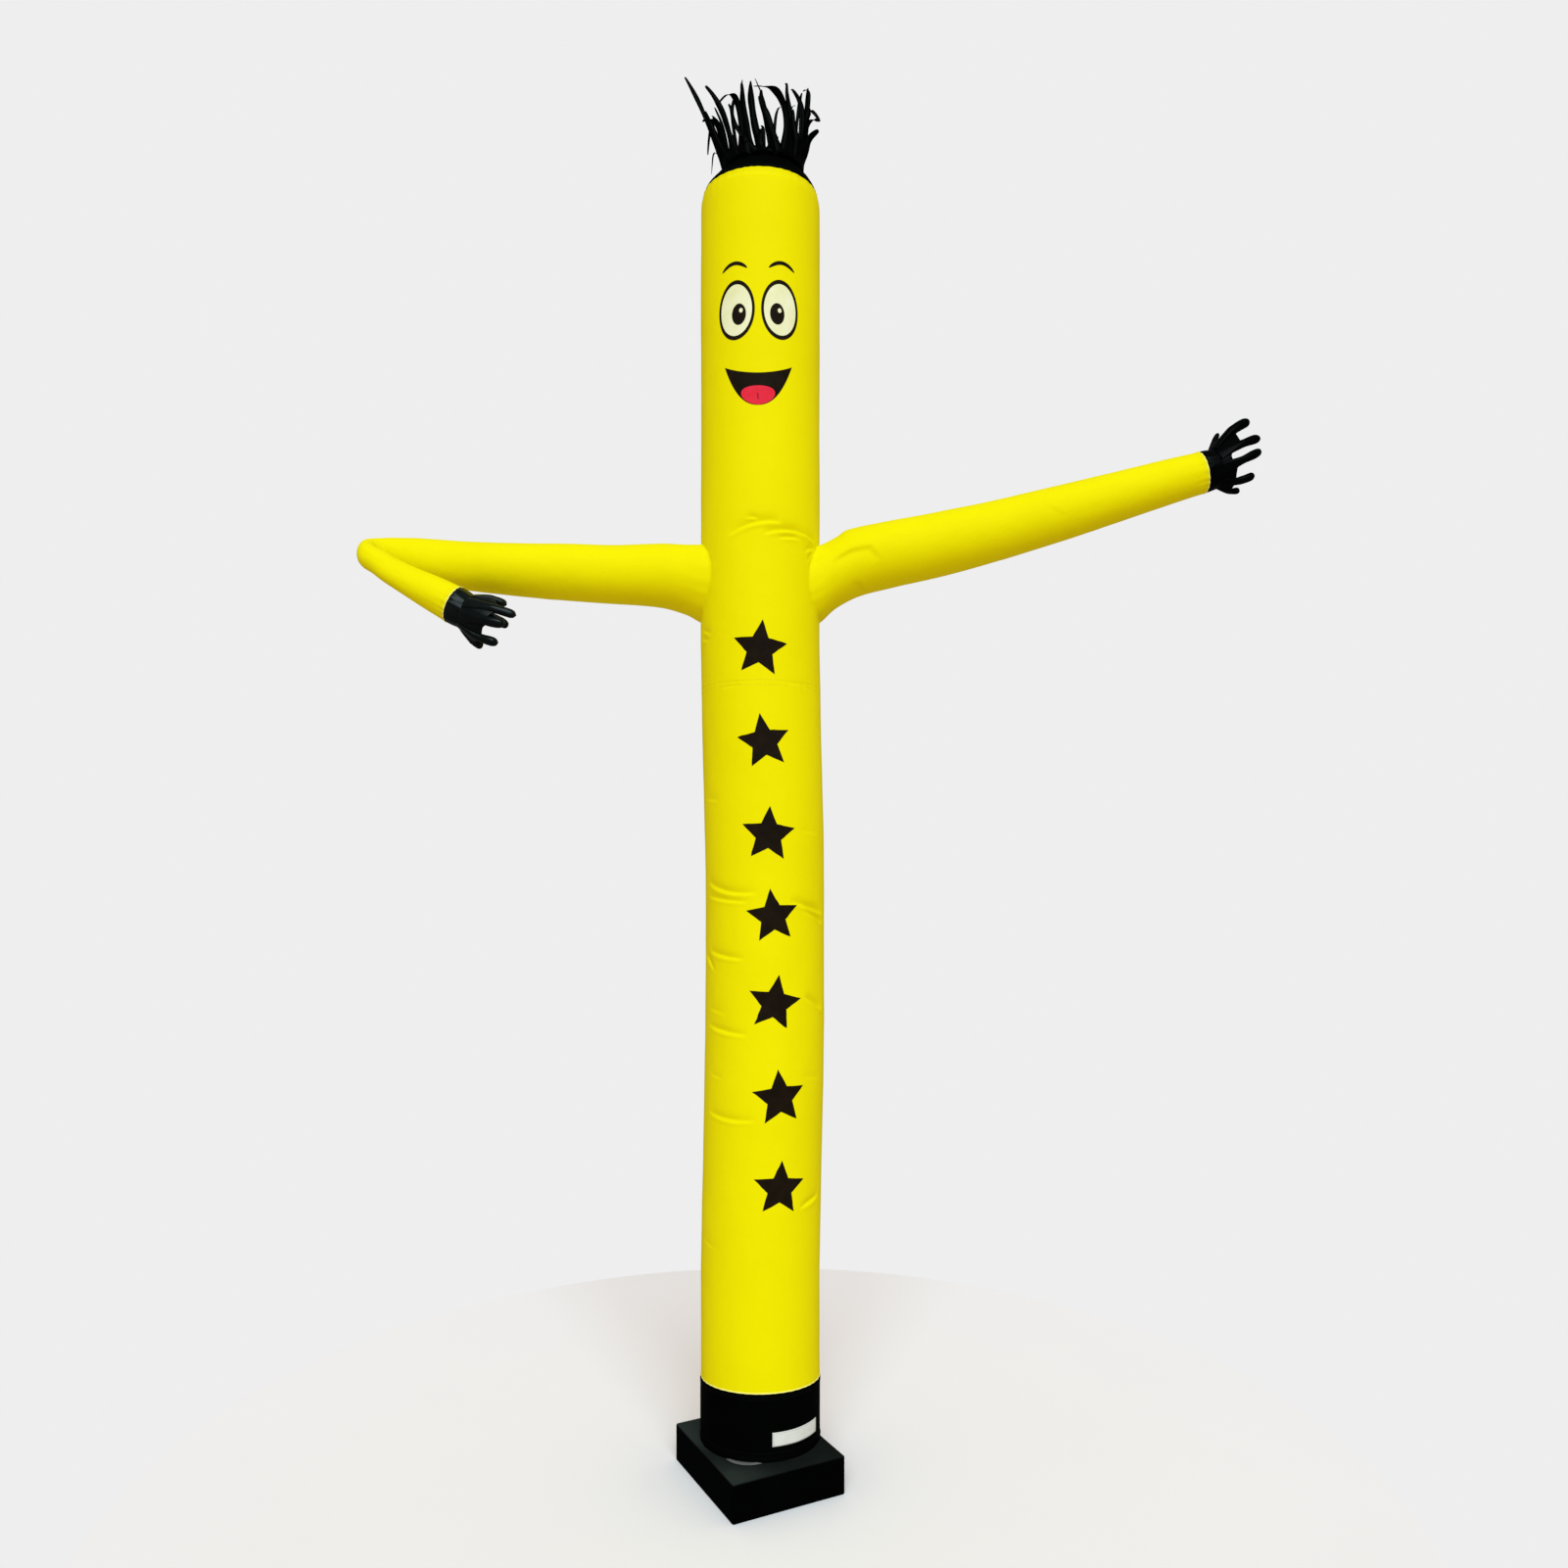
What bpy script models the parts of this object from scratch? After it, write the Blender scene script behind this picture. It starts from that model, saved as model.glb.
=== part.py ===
"""A ten foot inflatable air dancer standing on its blower base, in metres, +Z up.

The dancer faces -Y. The origin is on the base's underside, under the tube's axis.
An azimuth is measured on a tube from its front (-Y) towards +X.
Every cloth piece is an open sheet given its thickness inwards, so a tube stays hollow
as the air duct that it is, and neighbouring pieces meet edge to edge at their seams."""

import math

import bmesh
import bpy
from mathutils import Vector

# Driving sizes
TUBE_RADIUS = 0.130
CLOTH = 0.002
SEAM_GAP = 0.0003
TUBE_STEPS = 24
ARM_STEPS = 16

# The base, turned against the dancer's face
BASE_SIZE = (0.262, 0.304, 0.082)
BASE_CENTRE = (-0.0047, -0.0238)
BASE_YAW = math.radians(27.4)
BASE_CORNER = 0.005
BASE_CORNER_STEPS = 3
SHARP_ANGLE = math.radians(50)

# The black sleeve, whose top seam is higher in front
SLEEVE_RADIUS = 0.1312
SLEEVE_SEAM = 0.2135
SLEEVE_SEAM_TILT = 0.0107
SLEEVE_LEVELS = (0.10, 0.16)

# The label, a blank white strip sewn to the sleeve
LABEL_AZIMUTHS = (12, 65)
LABEL_LEVELS = (0.1135, 0.1440)
LABEL_THICKNESS = 0.001

# The yellow tube: two lengths that meet at the waist seam, and the head's rim
WAIST_SEAM = 1.710
HEAD_RIM = 2.790
HEAD_EDGE_RADIUS = 0.1238

# The crown's neck, which the hair is sewn round
NECK_CENTRE_X = 0.007
NECK_RADIUS = 0.079
NECK_TOP = 2.858
HAIR_BAND_HEIGHT = 0.013
HAIR_ROOT_WIDTH = 0.018
HAIR_TIP_WIDTH = 0.011
HAIR_THICKNESS = 0.0018
HAIR_SECTIONS = 6

# How far the tube's axis swings to +X where the air pushes it: level, x
SWAY = (
    (0.45, 0.0000),
    (0.70, 0.0045),
    (0.86, 0.0080),
    (0.99, 0.0100),
    (1.25, 0.0100),
    (1.38, 0.0090),
    (1.51, 0.0060),
    (1.64, 0.0026),
    (1.80, 0.0000),
)

# Creases pressed into the tube: azimuth and level of the start, azimuth and level of the
# end, how far the middle is above a straight line between them, depth of the trough and
# its half width
CREASES = (
    (-66, 1.290, -7, 1.268, -0.010, 0.0065, 0.011),
    (-66, 1.261, -15, 1.249, -0.003, 0.0045, 0.009),
    (26, 1.249, 71, 1.222, 0.000, 0.0060, 0.010),
    (42, 1.230, 72, 1.199, 0.000, 0.0050, 0.010),
    (-62, 1.143, -19, 1.130, -0.004, 0.0060, 0.010),
    (-74, 1.133, -54, 1.102, 0.000, 0.0055, 0.010),
    (43, 1.047, 70, 1.014, 0.000, 0.0055, 0.010),
    (-65, 0.984, -16, 0.970, -0.003, 0.0060, 0.010),
    (-61, 0.799, -7, 0.792, -0.006, 0.0055, 0.010),
    (40, 0.602, 68, 0.616, 0.000, 0.0045, 0.010),
    (-28, 2.024, 18, 2.043, 0.010, 0.0060, 0.010),
    (4, 2.019, 48, 2.029, 0.009, 0.0055, 0.010),
    (-11, 2.052, 2, 2.050, 0.002, 0.0040, 0.009),
)
RIDGE_SHARE = 0.35
RIDGE_OFFSET = 1.7
CREASE_STATION_STEP = 0.014
CREASE_MARGIN = 0.020
CLOSEST_STATIONS = 0.010

# Levels of the tube's plain stations, with its radius where it isn't TUBE_RADIUS
LOWER_LEVELS = (0.26, 0.36, 0.47, 0.56, 0.70, 0.88, 1.38, 1.50, 1.60)
UPPER_LEVELS = (1.78, 1.84, 1.95, 2.12, 2.22, 2.35, 2.48, 2.60, 2.70)

# The head's shoulder, and the crown above it: level, radius
HEAD = (
    (2.752, 0.1300),
    (2.769, 0.1293),
    (2.780, 0.1274),
    (2.787, HEAD_EDGE_RADIUS),
    (HEAD_RIM, HEAD_EDGE_RADIUS),
)

CROWN = (
    (HEAD_RIM + SEAM_GAP, HEAD_EDGE_RADIUS),
    (2.7935, HEAD_EDGE_RADIUS),
    (2.807, 0.1155),
    (2.822, 0.1030),
    (2.834, 0.0900),
    (2.842, NECK_RADIUS),
    (NECK_TOP, NECK_RADIUS),
)

# The raised arm, which is cut back to the tube's wall: x, y and z of its axis, then half
# its height and half its depth there
RAISED_ARM = (
    (0.085, 0, 1.926, 0.0920, 0.0750),
    (0.133, 0, 1.949, 0.0825, 0.0740),
    (0.167, 0, 1.973, 0.0760, 0.0725),
    (0.202, 0, 1.993, 0.0725, 0.0715),
    (0.271, 0, 2.010, 0.0708, 0.0708),
    (0.374, 0, 2.031, 0.0686, 0.0686),
    (0.512, 0, 2.064, 0.0642, 0.0642),
    (0.649, 0, 2.101, 0.0590, 0.0590),
    (0.787, 0, 2.141, 0.0525, 0.0525),
    (0.900, 0, 2.174, 0.0472, 0.0472),
    (0.969, 0, 2.193, 0.0440, 0.0440),
)

# The folded arm, in the same columns: it runs out to -X, turns forwards and down in a
# tight elbow, and comes back in front of itself
FOLDED_ARM = (
    (-0.085, 0.000, 1.940, 0.0900, 0.0760),
    (-0.131, 0.000, 1.948, 0.0840, 0.0740),
    (-0.164, 0.000, 1.957, 0.0755, 0.0715),
    (-0.216, 0.000, 1.966, 0.0690, 0.0690),
    (-0.319, 0.000, 1.969, 0.0630, 0.0630),
    (-0.423, 0.000, 1.974, 0.0605, 0.0605),
    (-0.526, 0.000, 1.979, 0.0570, 0.0570),
    (-0.649, 0.000, 1.988, 0.0520, 0.0520),
    (-0.745, 0.000, 1.999, 0.0480, 0.0460),
    (-0.800, -0.001, 2.006, 0.0430, 0.0370),
    (-0.832, -0.012, 2.009, 0.0360, 0.0270),
    (-0.848, -0.036, 2.004, 0.0310, 0.0225),
    (-0.838, -0.060, 1.991, 0.0280, 0.0240),
    (-0.812, -0.073, 1.975, 0.0265, 0.0280),
    (-0.785, -0.0765, 1.957, 0.0270, 0.0330),
    (-0.743, -0.078, 1.933, 0.0305, 0.0360),
    (-0.697, -0.081, 1.909, 0.0360, 0.0390),
    (-0.648, -0.085, 1.882, 0.0400, 0.0400),
)
RAISED_ARM_UP = Vector((0, 0, 1))
FOLDED_ARM_UP = Vector((0, -0.5, 0.85)).normalized()
# How far each of an arm's first rings turns with its slope: those at the root stay upright
ROOT_TURNS = (0, 0, 0, 0.45, 0.85)

# The cuff of a hand: height along the arm, share of the wrist's radius
CUFF = ((0, 1.0), (0.020, 0.98), (0.040, 0.90))

# Fingers: angle of the root round the wrist from its top, then the tip's distance along
# the arm, above it and to its front from the wrist's middle, and the width
RAISED_FINGERS = (
    (22, 0.128, 0.086, -0.010, 0.0190),
    (66, 0.145, 0.040, 0.014, 0.0165),
    (110, 0.137, 0.008, 0.022, 0.0160),
    (156, 0.111, -0.038, 0.010, 0.0160),
    (204, 0.078, -0.056, -0.014, 0.0130),
    (318, 0.074, 0.082, -0.030, 0.0100),
)
FOLDED_FINGERS = (
    (172, 0.086, -0.055, 0.004, 0.0165),
    (128, 0.132, -0.010, 0.034, 0.0175),
    (80, 0.136, 0.036, 0.032, 0.0170),
    (36, 0.143, 0.052, 0.006, 0.0160),
    (350, 0.102, 0.045, -0.026, 0.0150),
    (262, 0.108, -0.010, -0.044, 0.0160),
)
FINGER_BULGE = 0.35

# How much wider than the finger its root is on the cuff
ROOT_WIDENING = 1.5

# A finger from root to tip: share of its length, then width and thickness as shares of
# its full width
FINGER_SECTIONS = (
    (0.22, 1.45, 0.52),
    (0.50, 1.12, 0.72),
    (0.80, 1.00, 0.74),
    (0.95, 0.86, 0.62),
    (1.00, 0.46, 0.32),
)

# Locks of hair: azimuth of the root, then x, y and z of the point half way along and of
# the tip, from the middle of the neck's top edge
HAIR = (
    (-180, 0.000, 0.075, 0.112, -0.007, 0.085, 0.154),
    (-164, -0.040, 0.068, 0.130, -0.053, 0.070, 0.180),
    (-147, -0.068, 0.062, 0.133, -0.079, 0.058, 0.185),
    (-131, -0.093, 0.055, 0.129, -0.113, 0.060, 0.178),
    (-115, -0.114, 0.042, 0.109, -0.125, 0.055, 0.069),
    (-98, -0.105, 0.014, 0.047, -0.117, 0.020, 0.003),
    (-82, -0.128, -0.012, 0.110, -0.171, -0.016, 0.193),
    (-65, -0.098, -0.042, 0.071, -0.130, -0.060, 0.067),
    (-49, -0.085, -0.050, 0.087, -0.124, -0.050, 0.150),
    (-33, -0.057, -0.082, 0.100, -0.094, -0.118, 0.064),
    (-16, -0.038, -0.058, 0.083, -0.047, -0.048, 0.158),
    (0, -0.020, -0.070, 0.080, -0.026, -0.056, 0.158),
    (16, 0.002, -0.066, 0.082, -0.005, -0.052, 0.140),
    (33, 0.042, -0.090, 0.091, -0.017, -0.124, 0.099),
    (49, 0.057, -0.048, 0.088, 0.050, -0.046, 0.159),
    (65, 0.084, -0.036, 0.094, 0.063, -0.040, 0.151),
    (82, 0.095, -0.014, 0.046, 0.119, -0.022, 0.073),
    (98, 0.094, 0.012, 0.098, 0.122, 0.020, 0.120),
    (115, 0.092, 0.034, 0.143, 0.098, 0.034, 0.204),
    (131, 0.075, 0.050, 0.145, 0.086, 0.052, 0.205),
    (147, 0.053, 0.062, 0.138, 0.070, 0.074, 0.192),
    (164, 0.024, 0.070, 0.138, 0.037, 0.084, 0.194),
)


def clear_scene():
    for old in list(bpy.data.objects):
        bpy.data.objects.remove(old)


def new_collection(name):
    collection = bpy.data.collections.new(name)
    bpy.context.scene.collection.children.link(collection)
    return collection


def new_material(name, colour, roughness):
    material = bpy.data.materials.new(name)
    material.use_nodes = True
    shader = material.node_tree.nodes["Principled BSDF"]
    shader.inputs["Base Color"].default_value = (*colour, 1)
    shader.inputs["Roughness"].default_value = roughness
    shader.inputs["Metallic"].default_value = 0
    return material


def new_object(name, mesh_edit, material, collection):
    """The edited mesh as an object, shaded smooth but for its sharp edges."""
    mesh = bpy.data.meshes.new(name)
    mesh_edit.to_mesh(mesh)
    mesh_edit.free()
    mesh.materials.append(material)
    mesh.shade_smooth()
    mesh.set_sharp_from_angle(angle=SHARP_ANGLE)
    made = bpy.data.objects.new(name, mesh)
    collection.objects.link(made)
    return made


def add_thickness(cloth, thickness=CLOTH):
    """The sheet's thickness, inwards from the modelled face."""
    solid = cloth.modifiers.new("thickness", "SOLIDIFY")
    solid.thickness = thickness
    solid.offset = -1
    solid.use_even_offset = True


def cut(target, cutter):
    boolean = target.modifiers.new("cut", "BOOLEAN")
    boolean.operation = "DIFFERENCE"
    boolean.solver = "EXACT"
    boolean.object = cutter


def as_cutter(helper):
    helper.hide_render = True
    helper.display_type = "WIRE"
    return helper


def interpolated(table, level):
    """The value in the second column at this level of a two-column table."""
    if level <= table[0][0]:
        return table[0][1]
    for (low, low_value), (high, high_value) in zip(table, table[1:]):
        if level <= high:
            share = (level - low) / (high - low)
            return low_value + share * (high_value - low_value)
    return table[-1][1]


def crease_depth(azimuth, level):
    """How far the creases press the cloth in at a point, less where a ridge lifts it."""
    pressed = 0
    for azimuth_1, level_1, azimuth_2, level_2, bow, depth, width in CREASES:
        share = (azimuth - azimuth_1) / (azimuth_2 - azimuth_1)
        if not 0 < share < 1:
            continue
        middle = level_1 + share * (level_2 - level_1) + bow * 4 * share * (1 - share)
        away = (level - middle) / width
        fade = math.sin(math.pi * share) ** 0.5
        trough = math.exp(-(away**2))
        ridge = RIDGE_SHARE * math.exp(-((away - RIDGE_OFFSET) ** 2))
        pressed += depth * fade * (trough - ridge)
    return pressed


def tube_point(azimuth, level, radius, centre_x=0):
    turned = math.radians(azimuth)
    return Vector((centre_x + radius * math.sin(turned), -radius * math.cos(turned), level))


def tube_ring(level, radius, swell=0, tilt=0):
    """A ring of the body's tube, with its sway and creases."""
    ring = []
    for step in range(TUBE_STEPS):
        azimuth = 360 * step / TUBE_STEPS - 180
        point_level = level + tilt * math.cos(math.radians(azimuth))
        pressed = crease_depth(azimuth, point_level)
        ring.append(
            tube_point(azimuth, point_level, radius + swell - pressed, interpolated(SWAY, level))
        )
    return ring


def loft(rings, closed=False):
    """A surface through rings of equal length, with its ends filled if closed."""
    edit = bmesh.new()
    rows = [[edit.verts.new(point) for point in ring] for ring in rings]
    for low, high in zip(rows, rows[1:]):
        for i, start in enumerate(low):
            j = (i + 1) % len(low)
            edit.faces.new((start, low[j], high[j], high[i]))
    if closed:
        edit.faces.new(reversed(rows[0]))
        edit.faces.new(rows[-1])
    return edit


def crease_levels(low, high):
    """Levels between two ends that are close together wherever a crease passes."""
    levels = []
    for _, level_1, _, level_2, bow, _, _ in CREASES:
        bottom = min(level_1, level_2) + min(bow, 0) - CREASE_MARGIN
        top = max(level_1, level_2) + max(bow, 0) + CREASE_MARGIN
        if bottom < low or top > high:
            continue
        count = math.ceil((top - bottom) / CREASE_STATION_STEP)
        levels += [bottom + (top - bottom) * step / count for step in range(count + 1)]
    return levels


def stations(low, high, plain):
    """Sorted levels from low to high, none closer to the next than CLOSEST_STATIONS."""
    chosen = [low]
    for level in sorted([*plain, *crease_levels(low, high)]):
        if chosen[-1] + CLOSEST_STATIONS < level < high - CLOSEST_STATIONS:
            chosen.append(level)
    return [*chosen, high]


def arm_frames(rows, up_hint):
    """For each row of an arm's table: its centre, and the vectors to its top and front. The
    rings of its root stand upright, where the sleeve of cloth widens to its seam."""
    centres = [Vector(row[:3]) for row in rows]
    frames = []
    for i, (centre, row) in enumerate(zip(centres, rows)):
        before = centres[max(i - 1, 0)]
        after = centres[min(i + 1, len(rows) - 1)]
        along = (after - before).normalized()
        if i < len(ROOT_TURNS):
            along.z *= ROOT_TURNS[i]
        along.normalize()
        up = (up_hint - along * up_hint.dot(along)).normalized()
        frames.append((centre, up * row[3], along.cross(up) * row[4]))
    return frames


def arm_rings(rows, up_hint, inset=0):
    rings = []
    for centre, up, side in arm_frames(rows, up_hint):
        up = up * (1 - inset / up.length)
        side = side * (1 - inset / side.length)
        angles = [math.tau * step / ARM_STEPS for step in range(ARM_STEPS)]
        rings.append([centre + up * math.cos(a) + side * math.sin(a) for a in angles])
    return rings


def make_base(material, collection):
    """The blower's housing: a low box with soft upper edges and a flat underside."""
    edit = bmesh.new()
    bmesh.ops.create_cube(edit, size=1)
    bmesh.ops.scale(edit, vec=BASE_SIZE, verts=edit.verts)
    bmesh.ops.translate(edit, vec=(0, 0, BASE_SIZE[2] / 2), verts=edit.verts)
    soft = [edge for edge in edit.edges if max(vert.co.z for vert in edge.verts) > 0]
    bmesh.ops.bevel(
        edit, geom=soft, offset=BASE_CORNER, segments=BASE_CORNER_STEPS, profile=0.5, affect="EDGES"
    )
    base = new_object("blower_base", edit, material, collection)
    base.location = (*BASE_CENTRE, 0)
    base.rotation_euler.z = BASE_YAW
    return base


def make_sleeve(material, collection):
    """The black cuff that stands on the base and is sewn to the yellow tube."""
    levels = (BASE_SIZE[2] + SEAM_GAP, *SLEEVE_LEVELS)
    rings = [tube_ring(level, SLEEVE_RADIUS) for level in levels]
    rings.append(tube_ring(SLEEVE_SEAM - SEAM_GAP, SLEEVE_RADIUS, tilt=SLEEVE_SEAM_TILT))
    add_thickness(new_object("base_sleeve", loft(rings), material, collection))


def make_label(material, collection):
    """A strip bent round the sleeve's facets, standing off them by the seam gap."""
    facet = 360 / TUBE_STEPS
    facet_share = math.cos(math.radians(facet / 2))
    outer = SLEEVE_RADIUS + (SEAM_GAP + LABEL_THICKNESS) / facet_share
    start, end = LABEL_AZIMUTHS
    corners = [facet * step for step in range(TUBE_STEPS) if start < facet * step < end]
    edit = bmesh.new()
    rows = []
    for azimuth in (start, *corners, end):
        from_middle = math.radians(azimuth % facet - facet / 2)
        radius = outer * facet_share / math.cos(from_middle)
        rows.append([edit.verts.new(tube_point(azimuth, level, radius)) for level in LABEL_LEVELS])
    for (low, high), (next_low, next_high) in zip(rows, rows[1:]):
        edit.faces.new((low, next_low, next_high, high))
    add_thickness(new_object("sleeve_label", edit, material, collection), LABEL_THICKNESS)


def make_tube_lower(material, collection):
    levels = stations(SLEEVE_SEAM, WAIST_SEAM - SEAM_GAP, LOWER_LEVELS)
    rings = [tube_ring(levels[0], TUBE_RADIUS, tilt=SLEEVE_SEAM_TILT)]
    rings += [tube_ring(level, TUBE_RADIUS) for level in levels[1:]]
    add_thickness(new_object("tube_lower", loft(rings), material, collection))


def make_tube_upper(material, collection, arm_holes):
    """Chest and head in one length, with the arms' holes cut through its wall."""
    levels = stations(WAIST_SEAM, HEAD[0][0], UPPER_LEVELS)
    rings = [tube_ring(level, TUBE_RADIUS) for level in levels]
    rings += [tube_ring(level, radius) for level, radius in HEAD[1:]]
    tube = new_object("tube_upper", loft(rings), material, collection)
    add_thickness(tube)
    for hole in arm_holes:
        cut(tube, hole)


def make_tube_cutter(material, collection):
    """The chest's whole outside, a seam gap larger: what an arm's root is cut back to."""
    levels = stations(WAIST_SEAM, HEAD[0][0], UPPER_LEVELS)
    rings = [tube_ring(level, TUBE_RADIUS, swell=SEAM_GAP) for level in levels]
    return as_cutter(new_object("tube_cutter", loft(rings, closed=True), material, collection))


def make_arm(name, rows, up_hint, tube_cutter, material, collection):
    arm = new_object(name, loft(arm_rings(rows, up_hint)), material, collection)
    add_thickness(arm)
    cut(arm, tube_cutter)


def make_arm_hole(name, rows, up_hint, material, collection):
    """The inside of an arm's root, which is cut out of the tube's wall."""
    root = arm_rings(rows[:3], up_hint, inset=CLOTH + SEAM_GAP)
    return as_cutter(new_object(name, loft(root, closed=True), material, collection))


def make_crown(material, collection):
    """The black cap over the head, open at the neck that the air leaves by."""
    rings = []
    for level, radius in CROWN:
        leaning = (level - CROWN[1][0]) / (CROWN[-2][0] - CROWN[1][0])
        centre_x = NECK_CENTRE_X * min(1, max(0, leaning))
        azimuths = [360 * step / TUBE_STEPS - 180 for step in range(TUBE_STEPS)]
        rings.append([tube_point(azimuth, level, radius, centre_x) for azimuth in azimuths])
    add_thickness(new_object("crown_cap", loft(rings), material, collection))


def strand_band(band, spans, strands):
    """A closed band of cloth with strands drawn out of its far edge.

    band(angle, row) gives the outer and inner points of the band at an angle in degrees;
    spans are the (start, end) angles of the roots in rising order; each strand is a list
    of four-point sections in the order outer start, outer end, inner end, inner start."""
    edit = bmesh.new()
    angles = [angle for span in spans for angle in span]
    row_count = len(band(0))
    columns = []
    for angle in angles:
        rows = band(angle)
        columns.append([[edit.verts.new(point) for point in pair] for pair in rows])
    for i, column in enumerate(columns):
        following = columns[(i + 1) % len(columns)]
        for row in range(row_count - 1):
            outer, inner = column[row]
            outer_up, inner_up = column[row + 1]
            next_outer, next_inner = following[row]
            next_outer_up, next_inner_up = following[row + 1]
            edit.faces.new((outer, next_outer, next_outer_up, outer_up))
            edit.faces.new((inner, inner_up, next_inner_up, next_inner))
        edit.faces.new((column[0][0], column[0][1], following[0][1], following[0][0]))
        root = [column[-1][0], following[-1][0], following[-1][1], column[-1][1]]
        if i % 2:
            edit.faces.new(root)
            continue
        for section in strands[i // 2]:
            ring = [edit.verts.new(point) for point in section]
            for k in range(4):
                n = (k + 1) % 4
                edit.faces.new((root[k], root[n], ring[n], ring[k]))
            root = ring
        edit.faces.new(root)
    bmesh.ops.recalc_face_normals(edit, faces=edit.faces)
    return edit


def section(centre, wide, thick):
    """A strand's four corners, wide being along its width and thick out of its face."""
    return [
        centre - wide + thick,
        centre + wide + thick,
        centre + wide - thick,
        centre - wide - thick,
    ]


def curve_through(start, middle, end, share):
    """A point and a direction on the parabola through three points."""
    control = 2 * middle - (start + end) / 2
    back = 1 - share
    point = back * back * start + 2 * back * share * control + share * share * end
    along = back * (control - start) + share * (end - control)
    return point, along.normalized()


def make_hair(material, collection):
    """The band sewn round the neck, with its flat locks."""
    half_span = math.degrees(HAIR_ROOT_WIDTH / 2 / NECK_RADIUS)
    inner_radius = (NECK_RADIUS + SEAM_GAP) / math.cos(math.radians(half_span))
    outer_radius = inner_radius + CLOTH
    middle_radius = (inner_radius + outer_radius) / 2
    neck = Vector((NECK_CENTRE_X, 0, NECK_TOP))

    def band(azimuth):
        levels = (NECK_TOP - HAIR_BAND_HEIGHT, NECK_TOP)
        return [
            [
                tube_point(azimuth, level, outer_radius, NECK_CENTRE_X),
                tube_point(azimuth, level, inner_radius, NECK_CENTRE_X),
            ]
            for level in levels
        ]

    strands = []
    for azimuth, *points in HAIR:
        root = tube_point(azimuth, NECK_TOP, middle_radius, NECK_CENTRE_X)
        middle = neck + Vector(points[:3])
        tip = neck + Vector(points[3:])
        tangent = Vector((math.cos(math.radians(azimuth)), math.sin(math.radians(azimuth)), 0))
        sections = []
        for step in range(1, HAIR_SECTIONS + 1):
            share = step / HAIR_SECTIONS
            centre, along = curve_through(root, middle, tip, share)
            width = HAIR_TIP_WIDTH + (HAIR_ROOT_WIDTH - HAIR_TIP_WIDTH) * (1 - share) ** 3
            wide = (tangent - along * tangent.dot(along)).normalized()
            thick = wide.cross(along)
            sections.append(section(centre, wide * width / 2, thick * HAIR_THICKNESS / 2))
        strands.append(sections)
    spans = [(row[0] - half_span, row[0] + half_span) for row in HAIR]
    new_object("hair_fringe", strand_band(band, spans, strands), material, collection)


def make_hand(name, arm_rows, up_hint, fingers, material, collection):
    """A cuff on the arm's end, narrowing to the roots of its fingers."""
    centre, up, side = arm_frames(arm_rows, up_hint)[-1]
    wrist_radius = up.length
    up = up.normalized()
    side = side.normalized()
    along = up.cross(side)

    def around(angle):
        turned = math.radians(angle)
        return up * math.cos(turned) + side * math.sin(turned)

    def band(angle):
        rows = []
        for height, share in CUFF:
            middle = centre + along * (height + SEAM_GAP)
            outer = wrist_radius * share
            rows.append([middle + around(angle) * outer, middle + around(angle) * (outer - CLOTH)])
        return rows

    edge_height, edge_share = CUFF[-1]
    edge_radius = wrist_radius * edge_share - CLOTH / 2
    spans = []
    strands = []
    for angle, reach, above, before, width in sorted(fingers):
        root = centre + along * edge_height + around(angle) * edge_radius
        tip = centre + along * reach + up * above + side * before
        middle = (root + tip) / 2 + around(angle) * width * FINGER_BULGE
        half_span = math.degrees(width * ROOT_WIDENING / 2 / edge_radius)
        spans.append((angle - half_span, angle + half_span))
        tangent = side * math.cos(math.radians(angle)) - up * math.sin(math.radians(angle))
        sections = []
        for share, wide_share, thick_share in FINGER_SECTIONS:
            point, direction = curve_through(root, middle, tip, share)
            wide = (tangent - direction * tangent.dot(direction)).normalized()
            thick = wide.cross(direction)
            wide = wide * width * wide_share / 2
            thick = thick * width * thick_share / 2
            sections.append(section(point, wide, thick))
        strands.append(sections)
    new_object(name, strand_band(band, spans, strands), material, collection)


def main():
    clear_scene()
    dancer = new_collection("air_dancer")
    cutters = new_collection("cutters")
    yellow = new_material("yellow_nylon", (0.83, 0.74, 0.01), 0.45)
    black = new_material("black_nylon", (0.010, 0.011, 0.010), 0.42)
    housing = new_material("black_housing", (0.014, 0.015, 0.014), 0.50)
    white = new_material("white_label", (0.75, 0.75, 0.73), 0.60)

    make_base(housing, dancer)
    make_sleeve(black, dancer)
    make_label(white, dancer)
    make_tube_lower(yellow, dancer)
    tube_cutter = make_tube_cutter(yellow, cutters)
    holes = [
        make_arm_hole("raised_arm_hole", RAISED_ARM, RAISED_ARM_UP, yellow, cutters),
        make_arm_hole("folded_arm_hole", FOLDED_ARM, FOLDED_ARM_UP, yellow, cutters),
    ]
    make_tube_upper(yellow, dancer, holes)
    make_arm("arm_raised", RAISED_ARM, RAISED_ARM_UP, tube_cutter, yellow, dancer)
    make_arm("arm_folded", FOLDED_ARM, FOLDED_ARM_UP, tube_cutter, yellow, dancer)
    make_hand("hand_raised", RAISED_ARM, RAISED_ARM_UP, RAISED_FINGERS, black, dancer)
    make_hand("hand_folded", FOLDED_ARM, FOLDED_ARM_UP, FOLDED_FINGERS, black, dancer)
    make_crown(black, dancer)
    make_hair(black, dancer)


main()
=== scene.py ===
"""Looks of the ten foot inflatable air dancer: cloth, seams, prints, hair, hands and base.

Metres, +Z up. The dancer faces -Y, and an azimuth runs from its front towards +X. Each
cloth piece is a fine sheet on its solid, worked out from the same tables as the solid."""

import math

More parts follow.
